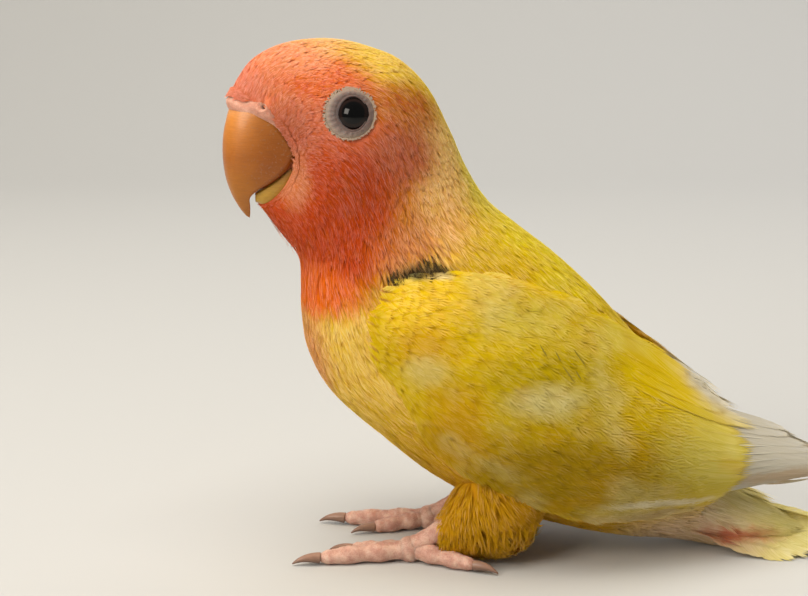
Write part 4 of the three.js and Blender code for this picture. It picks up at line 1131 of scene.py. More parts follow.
# Where feathers grow on the thigh, turn forwards, stand off and shorten, and its loose hairs.
thighGrowth = {
    "start": 0.4, "top": 22, "stray": 0.15, "front": (8, 18), "down": (-12, -5), "standOff": 2.0,
    "shorten": 0.5, "fromEnd": (2.2, 0.3),
}
thighHairs = {"count": 160, "places": (0.9, 5.4), "turns": (1.8, 2.9), "stray": 0.3}
thighBatches = []
for side, back in legSides.items():
    thighAt = thighSurface(side, back)
    low, high = (thighGrowth["start"], 0.0), (len(thighRungs) - 1.0, 2 * np.pi)
    roots, places = scatter(
        thighAt, -side, low, high, evenly(thighLook["spacing"]),
        lambda p, q, places: places[..., 2] < thighGrowth["top"],
    )
    forward = smoothStep(-places[:, 0] + back, *thighGrowth["front"])
    flow = np.stack([0.6 - 0.7 * forward, np.zeros(len(places)), np.full(len(places), -1.0)], -1)
    flow = unit(flow) + rng.normal(0, thighGrowth["stray"], flow.shape)
    lowest = smoothStep(-places[:, 2], *thighGrowth["down"])
    lift = thighLook["tipLift"] + thighGrowth["standOff"] * lowest
    nearEnd = smoothStep(roots[:, 0], *(high[0] - gap for gap in thighGrowth["fromEnd"]))
    length = thighLook["length"] * (1 - thighGrowth["shorten"] * nearEnd)
    look = {**thighLook, "tipLift": lift[:, None, None], "length": length}
    unwrap = {"from": low, "to": high, "at": (0.02 if side < 0 else 0.52, 0.02), "size": (0.46, 0.96)}
    thighBatches.append(growTufts(thighAt, -side, roots, flow, look, unwrap))
    # loose hairs along the lower edge
    count = thighHairs["count"]
    ranges = thighHairs["places"], thighHairs["turns"]
    roots = np.stack([rng.uniform(*limits, count) for limits in ranges], -1)
    flow = np.array([0.1, 0.0, -1.0]) + rng.normal(0, thighHairs["stray"], (count, 3))
    look = {**hairLook, "length": 4.0, "barbs": 2, "barbWidth": 0.2, "tipLift": 1.8}
    thighBatches.append(growTufts(thighAt, -side, roots, flow, look, unwrap))
makeCoat("thighCoat", thighBatches, bodyPlumage, "body_feathers")


# The wings: a base under rows of feathers, small ones in front and long vanes behind

wingBase = {
    "rows": 60, "columns": 28, "end": 5.75, "inset": 0.45, "rounding": 0.9, "thickness": 4.0,
    "thinFrom": 4.2, "endThickness": 0.5,
}
# Soft relief of the wing: x, z, reach of both, and rise.
wingRelief = [
    (-25.5, 49.5, 5.0, 6.0, 0.5), (-13, 52, 7.0, 4.5, 0.5), (-20.3, 57, 1.3, 1.8, -0.6),
    (-19.3, 53.8, 1.3, 2.2, -0.6), (-17.8, 50.5, 1.4, 2.2, -0.4), (-8, 41, 9, 4, 0.3),
    (5, 34, 9, 4, 0.25), (-12, 30, 8, 5, 0.25),
]
# How far feathers keep from the upper edge, how much lower the right wing's tip lies,
# and the line over which no covert grows in front of the bend.
wingEdge = {"margin": 0.1, "crossing": 0.14, "bendX": -22, "bendZ": 57.4, "slope": 0.1, "behind": -15}
vaneLook = {
    "blade": "long", "reach": 0.3, "widest": 0.7, "base": 0.6, "shaft": 0.16, "thickness": 0.025,
    "ragged": 0.03, "fluff": 0.01, "arch": 1.6, "camber": 0.1, "roundness": 0.1, "stations": 9,
    "tilt": 0.12, "rootLift": -0.3,
}
wingTiers = [
    # name, count, roots and tips (along and across, for the first and last), bulge and look
    ("primaries", 9, ((5.2, 5.0), (0.2, 0.88)), ((6.9, 8.0), (0.12, 0.72)), 0.0,
     {"halfWidth": np.linspace(1.3, 2.2, 9), "barbs": 80, "barbWidth": 0.4, "rootLift": -0.4, "tipLift": 0.1,
      "widest": 0.55, "shaft": 0.3}),
    ("lowestPrimary", 1, ((5.9, 5.9), (0.66, 0.66)), ((7.4, 7.4), (1.5, 1.5)), 0.0,
     {"halfWidth": 0.8, "barbs": 50, "barbWidth": 0.35, "widest": 0.4, "tipLift": 0.0}),
    ("secondaries", 12, ((3.4, 3.2), (0.16, 0.93)), ((6.0, 5.85), (0.13, 0.91)), 0.3,
     {"halfWidth": 2.6, "barbs": 90, "barbWidth": 0.36, "tipLift": 0.06, "tilt": 0.06, "ragged": 0.01}),
    ("tertials", 5, ((2.9, 3.2), (0.06, 0.24)), ((5.2, 6.3), (0.04, 0.2)), 0.0,
     {"halfWidth": 2.2, "barbs": 70, "barbWidth": 0.34, "tipLift": 0.25, "rootLift": -0.2}),
]
covertLook = {
    **headLook, "along": (-0.35, 5.0), "spacing": (1.15, 1.75), "length": (5.2, 10.5),
    "halfWidth": (1.5, 2.8), "barbs": 12, "reach": 0.42, "barbWidth": 0.36, "widest": 0.6,
    "rootLift": -0.7, "tipLift": 0.06, "arch": 2.2, "fluff": 0.015, "camber": 0.08, "ragged": 0.05,
    "roundness": 0.12, "stations": 4, "thickness": 0.02,
}


def softWing(wingAt):
    # the wing with its soft relief, and no feather past its upper edge
    def softAt(along, across, lift=0.0):
        edge = wingEdge["margin"]
        across = np.where(across < edge, edge * np.exp((np.minimum(across, edge) - edge) / edge), across)
        places = wingAt(along, across)
        rise = np.asarray(lift, float)
        for x, z, reachX, reachZ, height in wingRelief:
            away = ((places[..., 0] - x) / reachX) ** 2 + ((places[..., 2] - z) / reachZ) ** 2
            rise = rise + height * np.exp(-away)
        return wingAt(along, across, rise)

    return softAt


def wingBaseForm(wingAt):
    rows, columns = wingBase["rows"], wingBase["columns"]
    along, across = np.meshgrid(
        np.linspace(0.05, wingBase["end"], rows), np.linspace(0.02, 0.98, columns), indexing="ij",
    )
    rounding = wingBase["rounding"] * np.abs(2 * across - 1) ** 8
    rounding = rounding + wingBase["rounding"] * (1 - np.minimum(along, 1)) ** 4
    thinning = smoothStep(along, wingBase["thinFrom"], wingBase["end"])
    depth = blendOf(wingBase["thickness"], wingBase["endThickness"], thinning)
    upper = wingAt(along, across, -wingBase["inset"] - rounding)
    lower = wingAt(along, across, -wingBase["inset"] - depth)
    return outwardFaces(*loft(np.concatenate([upper, lower[:, ::-1]], 1)))


wingUnwrap = {"from": (-0.5, -0.1), "to": (8.2, 1.6), "at": (0.02, 0.02), "size": (0.96, 0.96)}


def wingVanes(wingAt, side, tier):
    name, count, (rootAlong, rootAcross), (tipAlong, tipAcross), bulge, special = tier
    share = np.linspace(0, 1, count)
    roots = np.stack([blendOf(*rootAlong, share), blendOf(*rootAcross, share)], -1)
    tipsAlong = blendOf(*tipAlong, share) + bulge * 4 * share * (1 - share) + rng.normal(0, 0.05, count)
    tips = np.stack([tipsAlong, blendOf(*tipAcross, share)], -1)
    look = {**vaneLook, **special}
    look["tilt"] *= side
    if side > 0 and name == "primaries":
        # the right wing's tip lies a little lower, so that the tips cross
        roots[:, 1], tips[:, 1] = (np.minimum(v[:, 1] + wingEdge["crossing"], 0.95) for v in (roots, tips))
    return growFeathers(wingAt, side, roots, tips, look, wingUnwrap)


def wingCoverts(wingAt, side):
    low, high = covertLook["along"]

    def growth(along):
        return np.clip((along - low) / (high - low), 0, 1)

    def keep(along, across, places):
        limit = wingEdge["bendZ"] + wingEdge["slope"] * (places[..., 0] - wingEdge["bendX"])
        return (places[..., 2] < limit) | (places[..., 0] > wingEdge["behind"])

    roots, places = scatter(
        wingAt, side, (low, 0.0), (high, 1.0), lambda p, q: blendOf(*covertLook["spacing"], growth(p)), keep,
    )
    share = growth(roots[:, 0])
    alongP, _, _ = framesOf(wingAt, roots[:, 0], roots[:, 1], side)
    flow = unit(alongP) + [0, 0, -0.12] + rng.normal(0, 0.07, places.shape)
    look = {**covertLook, "length": blendOf(*covertLook["length"], share)}
    look["halfWidth"] = blendOf(*covertLook["halfWidth"], share)
    return growTufts(wingAt, side, roots, flow, look, wingUnwrap)


# Dark lines of painted shade between the barbs of the coverts: place (x, z) and length.
wingGapShadows = [
    ((-0.6, 45.6), 4.2), ((2.1, 43.6), 3.2), ((3.0, 41.2), 4.2), ((4.9, 44.8), 4.8), ((5.6, 41.0), 2.6),
]
for side, sideName in sideNames.items():
    wingAt = softWing(wingSides[side])
    base = makeMesh(f"wingBase_{sideName}", *wingBaseForm(wingAt), wingSkinFinish)
    addPiece(base, "wing_feathers", f"wing_{sideName}")
    vanes = {tier[0]: wingVanes(wingAt, side, tier) for tier in wingTiers}
    primaries = [vanes["primaries"], vanes["lowestPrimary"]]
    makeCoat(f"primaries_{sideName}", primaries, primaryVane, "wing_feathers")
    rear = [vanes["secondaries"], vanes["tertials"]]
    makeCoat(f"secondaries_{sideName}", rear, wingPlumage, "wing_feathers")
    makeCoat(f"coverts_{sideName}", [wingCoverts(wingAt, side)], wingPlumage, "wing_feathers")
    # thin dark blades on the coverts, painted shade between their barbs
    nearest = [wingTree.find((x, side * 20, z))[1] for (x, z), _ in wingGapShadows]
    roots = np.array([wingSpots[i][2:] for i in nearest])
    flow = np.tile([0.45, 0.0, -1.0], (len(roots), 1)) + rng.normal(0, 0.08, (len(roots), 3))
    look = {
        **hairLook, "blade": "long", "length": np.array([size for _, size in wingGapShadows]), "barbWidth": 0.15,
        "halfWidth": 0.15, "rootLift": 0.05, "tipLift": 0.2, "stations": 4,
    }
    streaksAndGapShade = growTufts(wingAt, side, roots, flow, look, wingUnwrap)
    makeCoat(f"gapShadows_{sideName}", [streaksAndGapShade], gapShadowPlumage, "wing_feathers")


# The tail: long vanes over a base, with soft coverts above and below

tailVanesLook = {
    **vaneLook, "reach": 0.2, "barbs": 80, "barbWidth": 0.42, "halfWidth": 2.5, "rootLift": 0.0,
    "tipLift": 0.0, "camber": 0.3, "widest": 0.75, "ragged": 0.07, "tilt": 0.25,
}
# Tiers of tail feathers: where roots and tips lie, and how they spread and drop outwards.
tailTiers = {
    "rectrices": {
        "count": 12, "rootX": 33, "tipX": 59.4, "tipStep": 0.3, "rootSpread": 0.9, "tipSpread": 1.5,
        "rootZ": 10.4, "rootDrop": 1.1, "tipZ": 4.2, "tipDrop": 0.6,
    },
    "above": {
        "count": 9, "rootX": 30, "tipX": 47.5, "tipStep": 0.5, "rootSpread": 1.2, "tipSpread": 1.5,
        "rootZ": 15.4, "rootDrop": 0.9, "tipZ": 9.4, "tipDrop": 0.9,
    },
    "below": {
        "count": 9, "rootX": 28, "tipX": 51.5, "tipStep": 0.6, "rootSpread": 1.3, "tipSpread": 1.3,
        "rootZ": 3.4, "rootDrop": -0.5, "tipZ": 1.2, "tipDrop": -0.12,
    },
}


def tailVaneSurface(tier, place):
    out = abs(place)
    root = np.array([tier["rootX"], tier["rootSpread"] * place, tier["rootZ"] - tier["rootDrop"] * out])
    tip = np.array([
        tier["tipX"] - tier["tipStep"] * out * out,
        tier["tipSpread"] * place,
        tier["tipZ"] - tier["tipDrop"] * out,
    ])
    rootSlope, tipSlope = tier["rootDrop"] / tier["rootSpread"], tier["tipDrop"] / tier["tipSpread"]

    def vaneAt(p, q, lift=0.0):
        p, q, lift = np.broadcast_arrays(*(np.asarray(v, float) for v in (p, q, lift)))
        lean = -np.sign(place) * blendOf(rootSlope, tipSlope, p)
        side = unit(np.stack([np.zeros_like(p), np.ones_like(p), lean], -1))
        up = unit(np.stack([np.zeros_like(p), -lean, np.ones_like(p)], -1))
        points = blendOf(root, tip, p[..., None]) + side * q[..., None] + up * lift[..., None]
        points[..., 2] = np.maximum(points[..., 2], 0.05)
        return points

    return vaneAt


def tailFeathers(tier, look, corner):
    batches = []
    for i in range(tier["count"]):
        place = i - (tier["count"] - 1) / 2
        unwrap = {
            "from": (0, 0), "to": (1, 1), "size": (0.2, 0.02),
            "at": (corner[0], corner[1] + 0.3 * i / tier["count"]),
        }
        special = {**look, "tilt": -np.sign(place) * look["tilt"]}
        ends = np.array([[0.0, 0.0]]), np.array([[1.0, 0.0]])
        batches.append(growFeathers(tailVaneSurface(tier, place), 1, *ends, special, unwrap))
    return batches


tailBase = {"rings": 33, "sides": 40, "depth": 0.4}
tailGrid = np.meshgrid(
    np.linspace(0, len(tailRungs) - 1, tailBase["rings"]),
    np.arange(tailBase["sides"]) / tailBase["sides"] * 2 * np.pi, indexing="ij",
)
base = makeMesh("tailBase", *outwardFaces(*loft(tailAt(*tailGrid, -tailBase["depth"]))), tailSkinFinish)
addPiece(base, "tail_feathers", "tail")
rectrices = tailFeathers(tailTiers["rectrices"], tailVanesLook, (0.02, 0.02))
makeCoat("tailVanes", rectrices, tailPlumage, "tail_feathers")
covertVanes = {**tailVanesLook, "barbs": 26, "reach": 0.5, "ragged": 0.16, "halfWidth": 2.2, "barbWidth": 0.4}
tailCoverts = tailFeathers(tailTiers["above"], covertVanes, (0.3, 0.02))
tailCoverts += tailFeathers(tailTiers["below"], covertVanes, (0.6, 0.02))
tailCovertLook = {
    **thighLook, "spacing": 1.1, "length": 8.0, "halfWidth": 1.0, "reach": 0.75, "fluff": 0.08,
    "rootLift": -0.7, "tipLift": 0.25, "stations": 5, "ragged": 0.22, "lengths": (0.8, 1.15),
}
unwrap = {"from": (-0.6, -np.pi), "to": (3.4, np.pi), "at": (0.02, 0.4), "size": (0.96, 0.56)}
roots, _ = scatter(
    tailAt, 1, unwrap["from"], unwrap["to"], evenly(tailCovertLook["spacing"]),
    lambda p, q, places: np.ones(np.shape(p), bool),
)
flow = unit(framesOf(tailAt, roots[:, 0], roots[:, 1], 1)[0]) + rng.normal(0, 0.1, (len(roots), 3))
tailCoverts.append(growTufts(tailAt, 1, roots, flow, tailCovertLook, unwrap))
makeCoat("tailCoverts", tailCoverts, tailPlumage, "tail_feathers")


# The bill: both halves as fine lofts between a ridge and an inner edge

# Rungs from the base to the tip: ridge (x, z), inner edge (x, z) and half width.
billRungs = {
    "upper": np.array([
        [-57.3, 86.1, -45.6, 77.2, 5.3],
        [-58.0, 83.6, -46.8, 75.2, 5.4],
        [-58.6, 80.8, -48.4, 73.6, 5.3],
        [-58.8, 77.6, -50.3, 72.2, 4.9],
        [-58.6, 74.6, -52.4, 70.9, 4.0],
        [-58.1, 72.0, -53.9, 69.3, 2.8],
        [-57.1, 69.3, -53.9, 67.6, 1.8],
        [-55.8, 67.0, -53.9, 66.2, 1.0],
        [-54.7, 65.6, -54.0, 65.2, 0.3],
    ]),
    "lower": np.array([
        [-45.4, 73.0, -46.4, 75.0, 4.9],
        [-46.8, 70.2, -48.2, 73.2, 4.6],
        [-48.9, 68.3, -50.1, 71.7, 4.1],
        [-51.2, 67.6, -51.6, 70.7, 3.4],
        [-52.9, 68.2, -52.9, 69.8, 2.4],
    ]),
}
# Half sections: share of the way from the ridge to the inner edge, and share of the half width.
billProfiles = {
    "upper": [[0, 0], [0.03, 0.3], [0.12, 0.58], [0.3, 0.83], [0.6, 0.97], [1, 1]],
    "lower": [[0, 0], [0.06, 0.42], [0.25, 0.76], [0.6, 0.95], [1, 1]],
}
bill = {"rowsPerRung": 8, "columnsPerStep": 5, "baseBulge": 2.5, "baseBack": 0.605, "baseUp": 0.796}


def billForm(half):
    rungs, profile = billRungs[half], np.array(billProfiles[half], float)
    mirrored = np.concatenate([profile[:0:-1] * [1, -1], profile])
    columns = (len(mirrored) - 1) * bill["columnsPerStep"] + 1
    section = smoothRows(mirrored, np.linspace(0, len(mirrored) - 1, columns))
    place = np.linspace(0, len(rungs) - 1, (len(rungs) - 1) * bill["rowsPerRung"] + 1)
    rows = smoothRows(rungs, place)
    ridge, inner, width = rows[:, None, 0:2], rows[:, None, 2:4], rows[:, None, 4]
    flat = ridge + (inner - ridge) * section[None, :, :1]
    if half == "upper":
        # the base swells up and back under the cere
        bulge = np.maximum(1 - place, 0)[:, None] ** 2 * np.sin(np.pi * section[None, :, 0])
        flat = flat + bulge[..., None] * bill["baseBulge"] * [bill["baseBack"], bill["baseUp"]]
    points = np.stack([flat[..., 0], width * section[None, :, 1], flat[..., 1]], -1)
    return outwardFaces(*loft(headTurned(points, 0.0)))


upperBill = makeMesh("upperBill", *billForm("upper"), hornMaterial)
addPiece(upperBill, "bill_horn", "upper_bill")
lowerBill = makeMesh("lowerBill", *billForm("lower"), lowerHornMaterial)
addPiece(lowerBill, "bill_horn", "lower_bill")


# The cere between the bill and the forehead, with its nostrils

cere = {
    "rows": 160, "columns": 24, "endDeg": 68, "gapeDeg": 100, "swell": 0.42, "sunk": 0.6,
    "headRung": 0.1, "nostrilRungs": 0.5, "nostrilReach": 0.22, "inset": 0.35, "nostrilPuff": 0.7,
    "middlePuff": 0.5, "middleReach": 0.16, "pitDepth": 0.9, "pit": 0.42, "rim": 0.25,
    "rimPlace": 0.9, "rimReach": 0.3, "edgeDepth": 0.2, "depth": 1.1,
}


def cereForm():
    # a swollen band from the head's edge to the bill, open to a pit at each nostril
    turn = np.linspace(-1, 1, cere["rows"])
    angle = turn * math.radians(cere["endDeg"])
    share = np.abs(turn)[:, None] * cere["endDeg"] / cere["gapeDeg"]
    sign = np.sign(turn)[:, None]
    ridge, inner, half = billRungs["upper"][0, 0:2], billRungs["upper"][0, 2:4], billRungs["upper"][0, 4]
    taper = smoothStep(1 - np.abs(turn), 0.0, 0.5)[:, None]
    sunk = cere["sunk"] * (0.25 + 0.75 * taper) - bill["baseBulge"] * np.sin(np.pi * share)
    width = half * np.sqrt(1 - (1 - share) ** 3)
    onBill = headTurned(np.stack([
        blendOf(ridge[0], inner[0], share) - sunk * bill["baseBack"],
        sign * width,
        blendOf(ridge[1], inner[1], share) - sunk * bill["baseUp"],
    ], -1), 0.0)
    toNostril = np.abs(angle) - math.radians(nostril["angleDeg"])
    spread = np.exp(-(toNostril / cere["nostrilReach"]) ** 2)
    rung = cere["headRung"] + cere["nostrilRungs"] * spread
    border = bodyAt(rung, angle, -cere["inset"])[:, None]
    _, _, outward = framesOf(bodyAt, np.full(angle.shape, 0.15), angle, 1)
    outward = unit(outward + unit(border[:, 0] - onBill[:, 0]) * 0.2 + [-0.5, 0, 0.2])[:, None]
    across = np.linspace(0, 1, cere["columns"])[None, :, None]
    swell = cere["swell"] * np.sin(np.pi * across) * (0.3 + 0.7 * taper[..., None])
    puff = 1 + cere["nostrilPuff"] * spread + cere["middlePuff"] * np.exp(-(angle / cere["middleReach"]) ** 2)
    upper = blendOf(border, onBill, across) + outward * swell * puff[:, None, None]
    # a mask of painted shade, dark in each nostril pit
    hollow = np.zeros(upper.shape[:2])
    for side in sideNames:
        away = np.linalg.norm(upper - nostrilSpot(side), axis=-1, keepdims=True)
        away = np.sqrt(np.maximum(away ** 2 - away.min() ** 2, 0))
        rim = cere["rim"] * np.exp(-((away - cere["rimPlace"]) / cere["rimReach"]) ** 2)
        pit = np.exp(-(away / cere["pit"]) ** 2)
        upper = upper + outward * (rim - cere["pitDepth"] * pit)
        hollow = np.maximum(hollow, smoothStep(pit[..., 0], 0.2, 0.7))
    lower = upper - outward * (cere["edgeDepth"] + cere["depth"] * np.sin(np.pi * across) ** 0.5)
    form = outwardFaces(*loft(np.concatenate([upper, lower[:, ::-1]], 1)))
    return form, np.concatenate([hollow, hollow[:, ::-1]], 1)


form, hollow = cereForm()
cerePiece = makeMesh("cere", *form, cereMaterial)
layer = cerePiece.data.attributes.new("hollow", "FLOAT", "POINT")
layer.data.foreach_set("value", np.append(hollow.ravel(), [0, 0]).astype(np.float32))
addPiece(cerePiece, "cere_skin", "cere")


# The eyes: ball with a raised cornea, and the ring of bare skin round it with its lid

eyeDetail = {
    "ballRows": 60, "ballColumns": 72, "cornea": 0.25, "corneaReach": 2.6,
    "ringSteps": 120, "folds": 22, "foldDepth": 0.05,
}
ringSection = [
    # share of the ring's width, and height over the head
    (-0.05, -1.0), (-0.04, 0.1), (0.0, 0.42), (0.07, 0.6), (0.15, 0.6), (0.22, 0.48), (0.28, 0.44),
    (0.4, 0.5), (0.55, 0.47), (0.7, 0.4), (0.85, 0.26), (0.97, 0.08), (1.0, -0.3), (0.9, -1.0),
]


def eyeBallForm(side):
    _, outward, forward, upward = eyeFrame(side)
    rows, columns = eyeDetail["ballRows"], eyeDetail["ballColumns"]
    lat = np.linspace(0.02, math.pi - 0.02, rows)
    lat, turn = np.meshgrid(lat, np.arange(columns) / columns * 2 * np.pi, indexing="ij")
    across = np.sin(lat) * eye["ball"]
    cornea = eyeDetail["cornea"] * np.exp(-(across / eyeDetail["corneaReach"]) ** 4) * (lat < 1.5)
    height = np.cos(lat) * eye["ball"] + cornea
    ahead, above = across * np.cos(turn), across * np.sin(turn)
    points = eyeCentre(side) + ahead[..., None] * forward + above[..., None] * upward
    return outwardFaces(*loft(points + height[..., None] * outward))


def eyeRingForm(side):
    turn = np.arange(eyeDetail["ringSteps"]) / eyeDetail["ringSteps"] * 2 * np.pi
    section = np.array(ringSection)
    section = smoothRows(section, np.linspace(0, len(section) - 1, (len(section) - 1) * 3 + 1))
    share, height = section[None, :, 0], section[None, :, 1]
    halfWidth = eye["openHalfWidth"] + share * eye["ringAhead"]
    halfHeight = eye["openHalfHeight"] + share * eye["ringAbove"]
    ahead = halfWidth * np.cos(turn)[:, None] + share * eye["shiftAhead"]
    above = halfHeight * np.sin(turn)[:, None]
    _, outward, _, _ = eyeFrame(side)
    folds = np.sin(eyeDetail["folds"] * turn + 2.2 * np.sin(3 * turn))[:, None]
    bumps = folds * eyeDetail["foldDepth"] * smoothStep(share, 0.2, 0.5) * smoothStep(-share, -1.0, -0.8)
    points = bodyAt(*eyeSpots(side, ahead, above)) + (height + bumps)[..., None] * outward
    rows, columns = points.shape[:2]
    looped = np.concatenate([points, points[:1]])
    flat = np.concatenate([looped, looped[:, :1]], 1)
    faces = gridTriangles(rows + 1, columns + 1, False)
    index = np.arange((rows + 1) * (columns + 1)).reshape(rows + 1, columns + 1)
    index = (index // (columns + 1)) % rows * columns + index % (columns + 1) % columns
    return outwardFaces(points.reshape(-1, 3), index.ravel()[faces])


lashLook = {
    "length": 0.5, "halfWidth": 0.12, "barbs": 1, "reach": 0.8, "widest": 0.55, "base": 0.6, "shaft": 0,
    "barbWidth": 0.14, "thickness": 0.03, "ragged": 0.25, "fluff": 0.03, "rootLift": -0.1, "tipLift": 0.12,
    "arch": 1.2, "camber": 0.05, "roundness": 0.35, "stations": 2, "lengths": (0.6, 1.3),
}
lashRows = [
    # name, count, range of turns from the front, share of the ring's width and material
    ("eyeFringe", 420, (-np.pi, np.pi), (0.86, 1.02), fringePlumage),
    ("eyeDashes", 34, (-1.2, 1.0), (0.8, 0.98), darkPlumage),
]


def lashBatch(side, count, turns, shares):
    turn, share = rng.uniform(*turns, count), rng.uniform(*shares, count)
    ahead = (eye["openHalfWidth"] + share * eye["ringAhead"]) * np.cos(turn) + eye["shiftAhead"]
    above = (eye["openHalfHeight"] + share * eye["ringAbove"]) * np.sin(turn)
    _, _, forward, upward = eyeFrame(side)
    offset = np.multiply.outer(ahead, forward) + np.multiply.outer(above, upward)
    roots = np.stack(eyeSpots(side, ahead, above), -1)
    flow = unit(offset) + rng.normal(0, 0.25, offset.shape) + [0.35, 0, 0]
    return growTufts(bodyAt, 1, roots, flow, lashLook, bodyUnwrap)


for side, sideName in sideNames.items():
    ball = makeMesh(f"eyeBall_{sideName}", *eyeBallForm(side), eyeMaterials[side])
    addPiece(ball, "eyeball", f"eye_{sideName}")
    ring = makeMesh(f"eyeRing_{sideName}", *eyeRingForm(side), ringMaterials[side])
    addPiece(ring, "eye_skin", f"eye_ring_{sideName}")
for name, count, turns, shares, material in lashRows:
    makeCoat(name, [lashBatch(side, count, turns, shares) for side in sideNames], material, "face_feathers")


# The feet: toes with scutes above and pads below, the tarsus, and curved claws

foot = {
    "sole": (-24, 9, 2.3), "soleRadius": 2.5, "ankle": (7.2, 0, 4.4), "tarsusRadii": (2.3, 1.9, 1.9, 2.2),
    "sides": 40, "rows": 90, "tarsusRows": 40, "soleRows": 24, "scuteDepth": 0.1, "scuteLength": 1.35,
    "tarsusPlates": 5.0, "papillae": 0.035, "padDepth": 0.09, "pads": 3, "toeTaper": (1.12, 0.82),
    "toeHeight": 0.78, "rounding": 0.86,
}
claw = {"rows": 36, "sunk": 0.5, "over": 0.8, "arch": 0.9, "tipHeight": 0.45, "base": 0.62, "tip": 0.12}
toes = [
    # name, reach (x and outwards), radius and claw length
    ("outer_front", (-17.5, 2.4), 1.75, 5.6),
    ("inner_front", (-11.5, -3.0), 1.6, 5.0),
    ("outer_rear", (12.5, 6.2), 1.65, 5.2),
    ("inner_rear", (6.8, -4.6), 1.5, 4.2),
]


def tubeForm(points, radii, ridges=None):
    # a tube along points whose radii may change round it, flattened on the floor
    along = unit(np.gradient(points, axis=0))
    across = unit(np.stack([-along[:, 1], along[:, 0], np.zeros(len(along))], -1))
    upward = np.cross(along, across)
    turn = np.arange(foot["sides"]) / foot["sides"] * 2 * np.pi
    size = np.broadcast_to(radii[:, None], (len(points), foot["sides"]))
    if ridges is not None:
        size = size + ridges(turn)
    ring = points[:, None] + across[:, None] * (size * np.cos(turn))[..., None]
    ring = ring + upward[:, None] * (size * np.sin(turn))[..., None]
    ring[..., 2] = np.maximum(ring[..., 2], 0)
    return outwardFaces(*loft(ring))


def scuteRidges(length, t):
    # overlapping plates across the top of a toe, and small papillae below
    phase = (t * length / foot["scuteLength"]) % 1.0
    plate = (phase ** 0.6 * (1 - smoothStep(phase, 0.86, 1.0)) - 0.4) * foot["scuteDepth"]

    def ridges(turn):
        top = smoothStep(np.sin(turn), -0.1, 0.5)
        papillae = np.sin(t * length * 7.0)[:, None] * np.sin(turn * 11)[None] * foot["papillae"]
        return plate[:, None] * top[None] + papillae * (1 - top)[None]

    return ridges


def soleMiddle(side, back):
    x, y, z = foot["sole"]
    return np.array([x + back, side * y, z])


def toeEnd(start, side, toe):
    _, reach, radius, _ = toe
    end = start + [reach[0], side * reach[1], 0]
    end[2] = radius * foot["toeHeight"]
    return end


def footForm(side, back):
    start = soleMiddle(side, back)
    parts = []
    t = np.linspace(0, 1, foot["rows"])
    for toe in toes:
        end = toeEnd(start, side, toe)
        points = start + (end - start) * t[:, None]
        length = np.linalg.norm(end - start)
        wave = np.cos(2 * np.pi * foot["pads"] * t)
        radii = toe[2] * (1 + foot["padDepth"] * wave) * blendOf(*foot["toeTaper"], t)
        radii = radii * np.sqrt(np.clip(1 - smoothStep(t, foot["rounding"], 1.0) * 0.9, 0.05, 1))
        parts.append(tubeForm(points, radii, scuteRidges(length, t)))
    end = start + foot["ankle"]
    t = np.linspace(0, 1, foot["tarsusRows"])
    radii = smoothRows(np.array(foot["tarsusRadii"]), t * 3)
    parts.append(tubeForm(start + (end - start) * t[:, None], radii, scuteRidges(foot["tarsusPlates"], t)))
    turn = np.arange(foot["sides"]) / foot["sides"] * 2 * np.pi
    lat, turn = np.meshgrid(np.linspace(0.05, math.pi - 0.05, foot["soleRows"]), turn, indexing="ij")
    ball = np.stack([np.sin(lat) * np.cos(turn), np.sin(lat) * np.sin(turn), np.cos(lat)], -1)
    ball = ball * foot["soleRadius"] + start
    ball[..., 2] = np.maximum(ball[..., 2], 0)
    parts.append(outwardFaces(*loft(ball)))
    return joinParts(parts)


def clawForm(side, back, toe):
    # a tapering hook that bends down to the floor
    _, _, radius, size = toe
    start = soleMiddle(side, back)
    end = toeEnd(start, side, toe)
    ahead = unit((end - start) * [1, 1, 0])
    root = end - ahead * claw["sunk"]
    t = np.linspace(0, 1, claw["rows"])
    points = root + ahead * ((size + claw["over"]) * (t - 0.18 * t * t))[:, None]
    points[:, 2] = root[2] + claw["arch"] * t - (root[2] + claw["tipHeight"]) * t * t
    return tubeForm(points, blendOf(claw["base"] * radius, claw["tip"], t ** 1.3))


for side, sideName in sideNames.items():
    back = legSides[side]
    piece = makeMesh(f"foot_skin_{sideName}", *footForm(side, back), footMaterial)
    addPiece(piece, "foot_skin", f"foot_{sideName}")
    for toe in toes:
        piece = makeMesh(f"claw_horn_{toe[0]}_{sideName}", *clawForm(side, back, toe), clawMaterial)
        addPiece(piece, "claw_horn", f"claw_{toe[0]}_{sideName}")
print("bill, eyes and feet ready")


# Camera, light and floor

view = {"targetX": -25.08, "targetZ": 49.3, "elevationDeg": 12, "distance": 320, "lens": 75}
studio = {"sky": "E4E2DE", "skyStrength": 0.3, "floor": "BEBEBB", "floorRoughness": 0.8}
elevation = math.radians(view["elevationDeg"])
camera = bpy.data.objects.new("camera", bpy.data.cameras.new("camera"))
bpy.context.scene.collection.objects.link(camera)
camera.location = (
    view["targetX"] * mm,
    -view["distance"] * math.cos(elevation) * mm,
    (view["targetZ"] + view["distance"] * math.sin(elevation)) * mm,
)
camera.rotation_euler = (math.pi / 2 - elevation, 0, 0)
camera.data.lens = view["lens"]
camera.data.sensor_width = 36
camera.data.clip_start = 0.01
bpy.context.scene.camera = camera

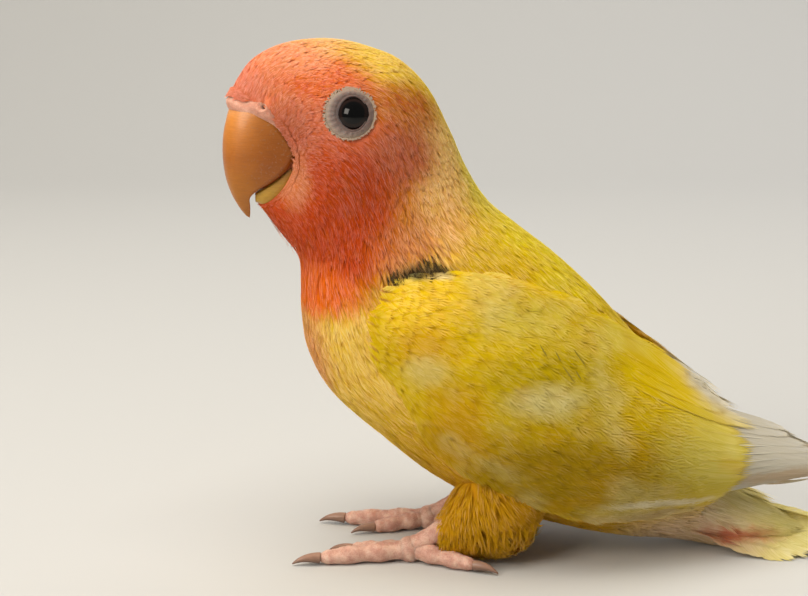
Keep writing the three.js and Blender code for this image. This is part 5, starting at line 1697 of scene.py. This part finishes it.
lights = [
    # name, place, aim, size, strength and colour
    ("keyLight", (-0.62, -0.6, 0.52), (-0.02, 0, 0.05), 0.45, 5.6, "FFF6EA"),
    ("topLight", (-0.15, -0.15, 1.0), (0.0, 0, 0.05), 0.8, 12.5, "FFF8EE"),
    ("backLight", (0.4, 0.55, 0.6), (0.0, 0, 0.05), 0.6, 2.0, "F4F6FF"),
]
for name, place, aim, size, strength, tint in lights:
    lamp = bpy.data.objects.new(name, bpy.data.lights.new(name, "AREA"))
    bpy.context.scene.collection.objects.link(lamp)
    lamp.data.size = size
    lamp.data.energy = strength
    lamp.data.color = srgb(tint)[:3]
    lamp.visible_glossy = name == "keyLight"
    lamp.location = place
    away = np.array(place) - np.array(aim)
    lamp.rotation_euler = (
        math.atan2(math.hypot(away[0], away[1]), away[2]), 0, math.atan2(away[0], -away[1]),
    )
world = bpy.data.worlds.new("studio")
world.use_nodes = True
sky = world.node_tree.nodes["Background"].inputs
sky["Color"].default_value = srgb(studio["sky"])
sky["Strength"].default_value = studio["skyStrength"]
bpy.context.scene.world = world
bpy.context.scene.view_settings.view_transform = "Standard"

floorMaterial, _, _ = newMaterial(
    "paleFloor", Base_Color=srgb(studio["floor"]), Roughness=studio["floorRoughness"],
)
# The floor bends up to a wall behind the bird.
sweep = {
    "bendStart": 500, "bendRadius": 500, "bendSteps": 49, "near": -1500, "top": 2200, "halfWidth": 3000,
}
bendTurns = np.linspace(0, math.pi / 2, sweep["bendSteps"])
sweepRows = np.concatenate([
    [[sweep["near"], 0]],
    np.stack([
        sweep["bendStart"] + sweep["bendRadius"] * np.sin(bendTurns),
        sweep["bendRadius"] * (1 - np.cos(bendTurns)),
    ], -1),
    [[sweep["bendStart"] + sweep["bendRadius"], sweep["top"]]],
])
floorPoints = np.array([[[x, y, z] for x in (sweep["halfWidth"], -sweep["halfWidth"])] for y, z in sweepRows])
floorFaces = gridTriangles(len(sweepRows), 2, False)
floor = makeMesh("floor", floorPoints.reshape(-1, 3), floorFaces, floorMaterial)
print("camera, light and floor ready")
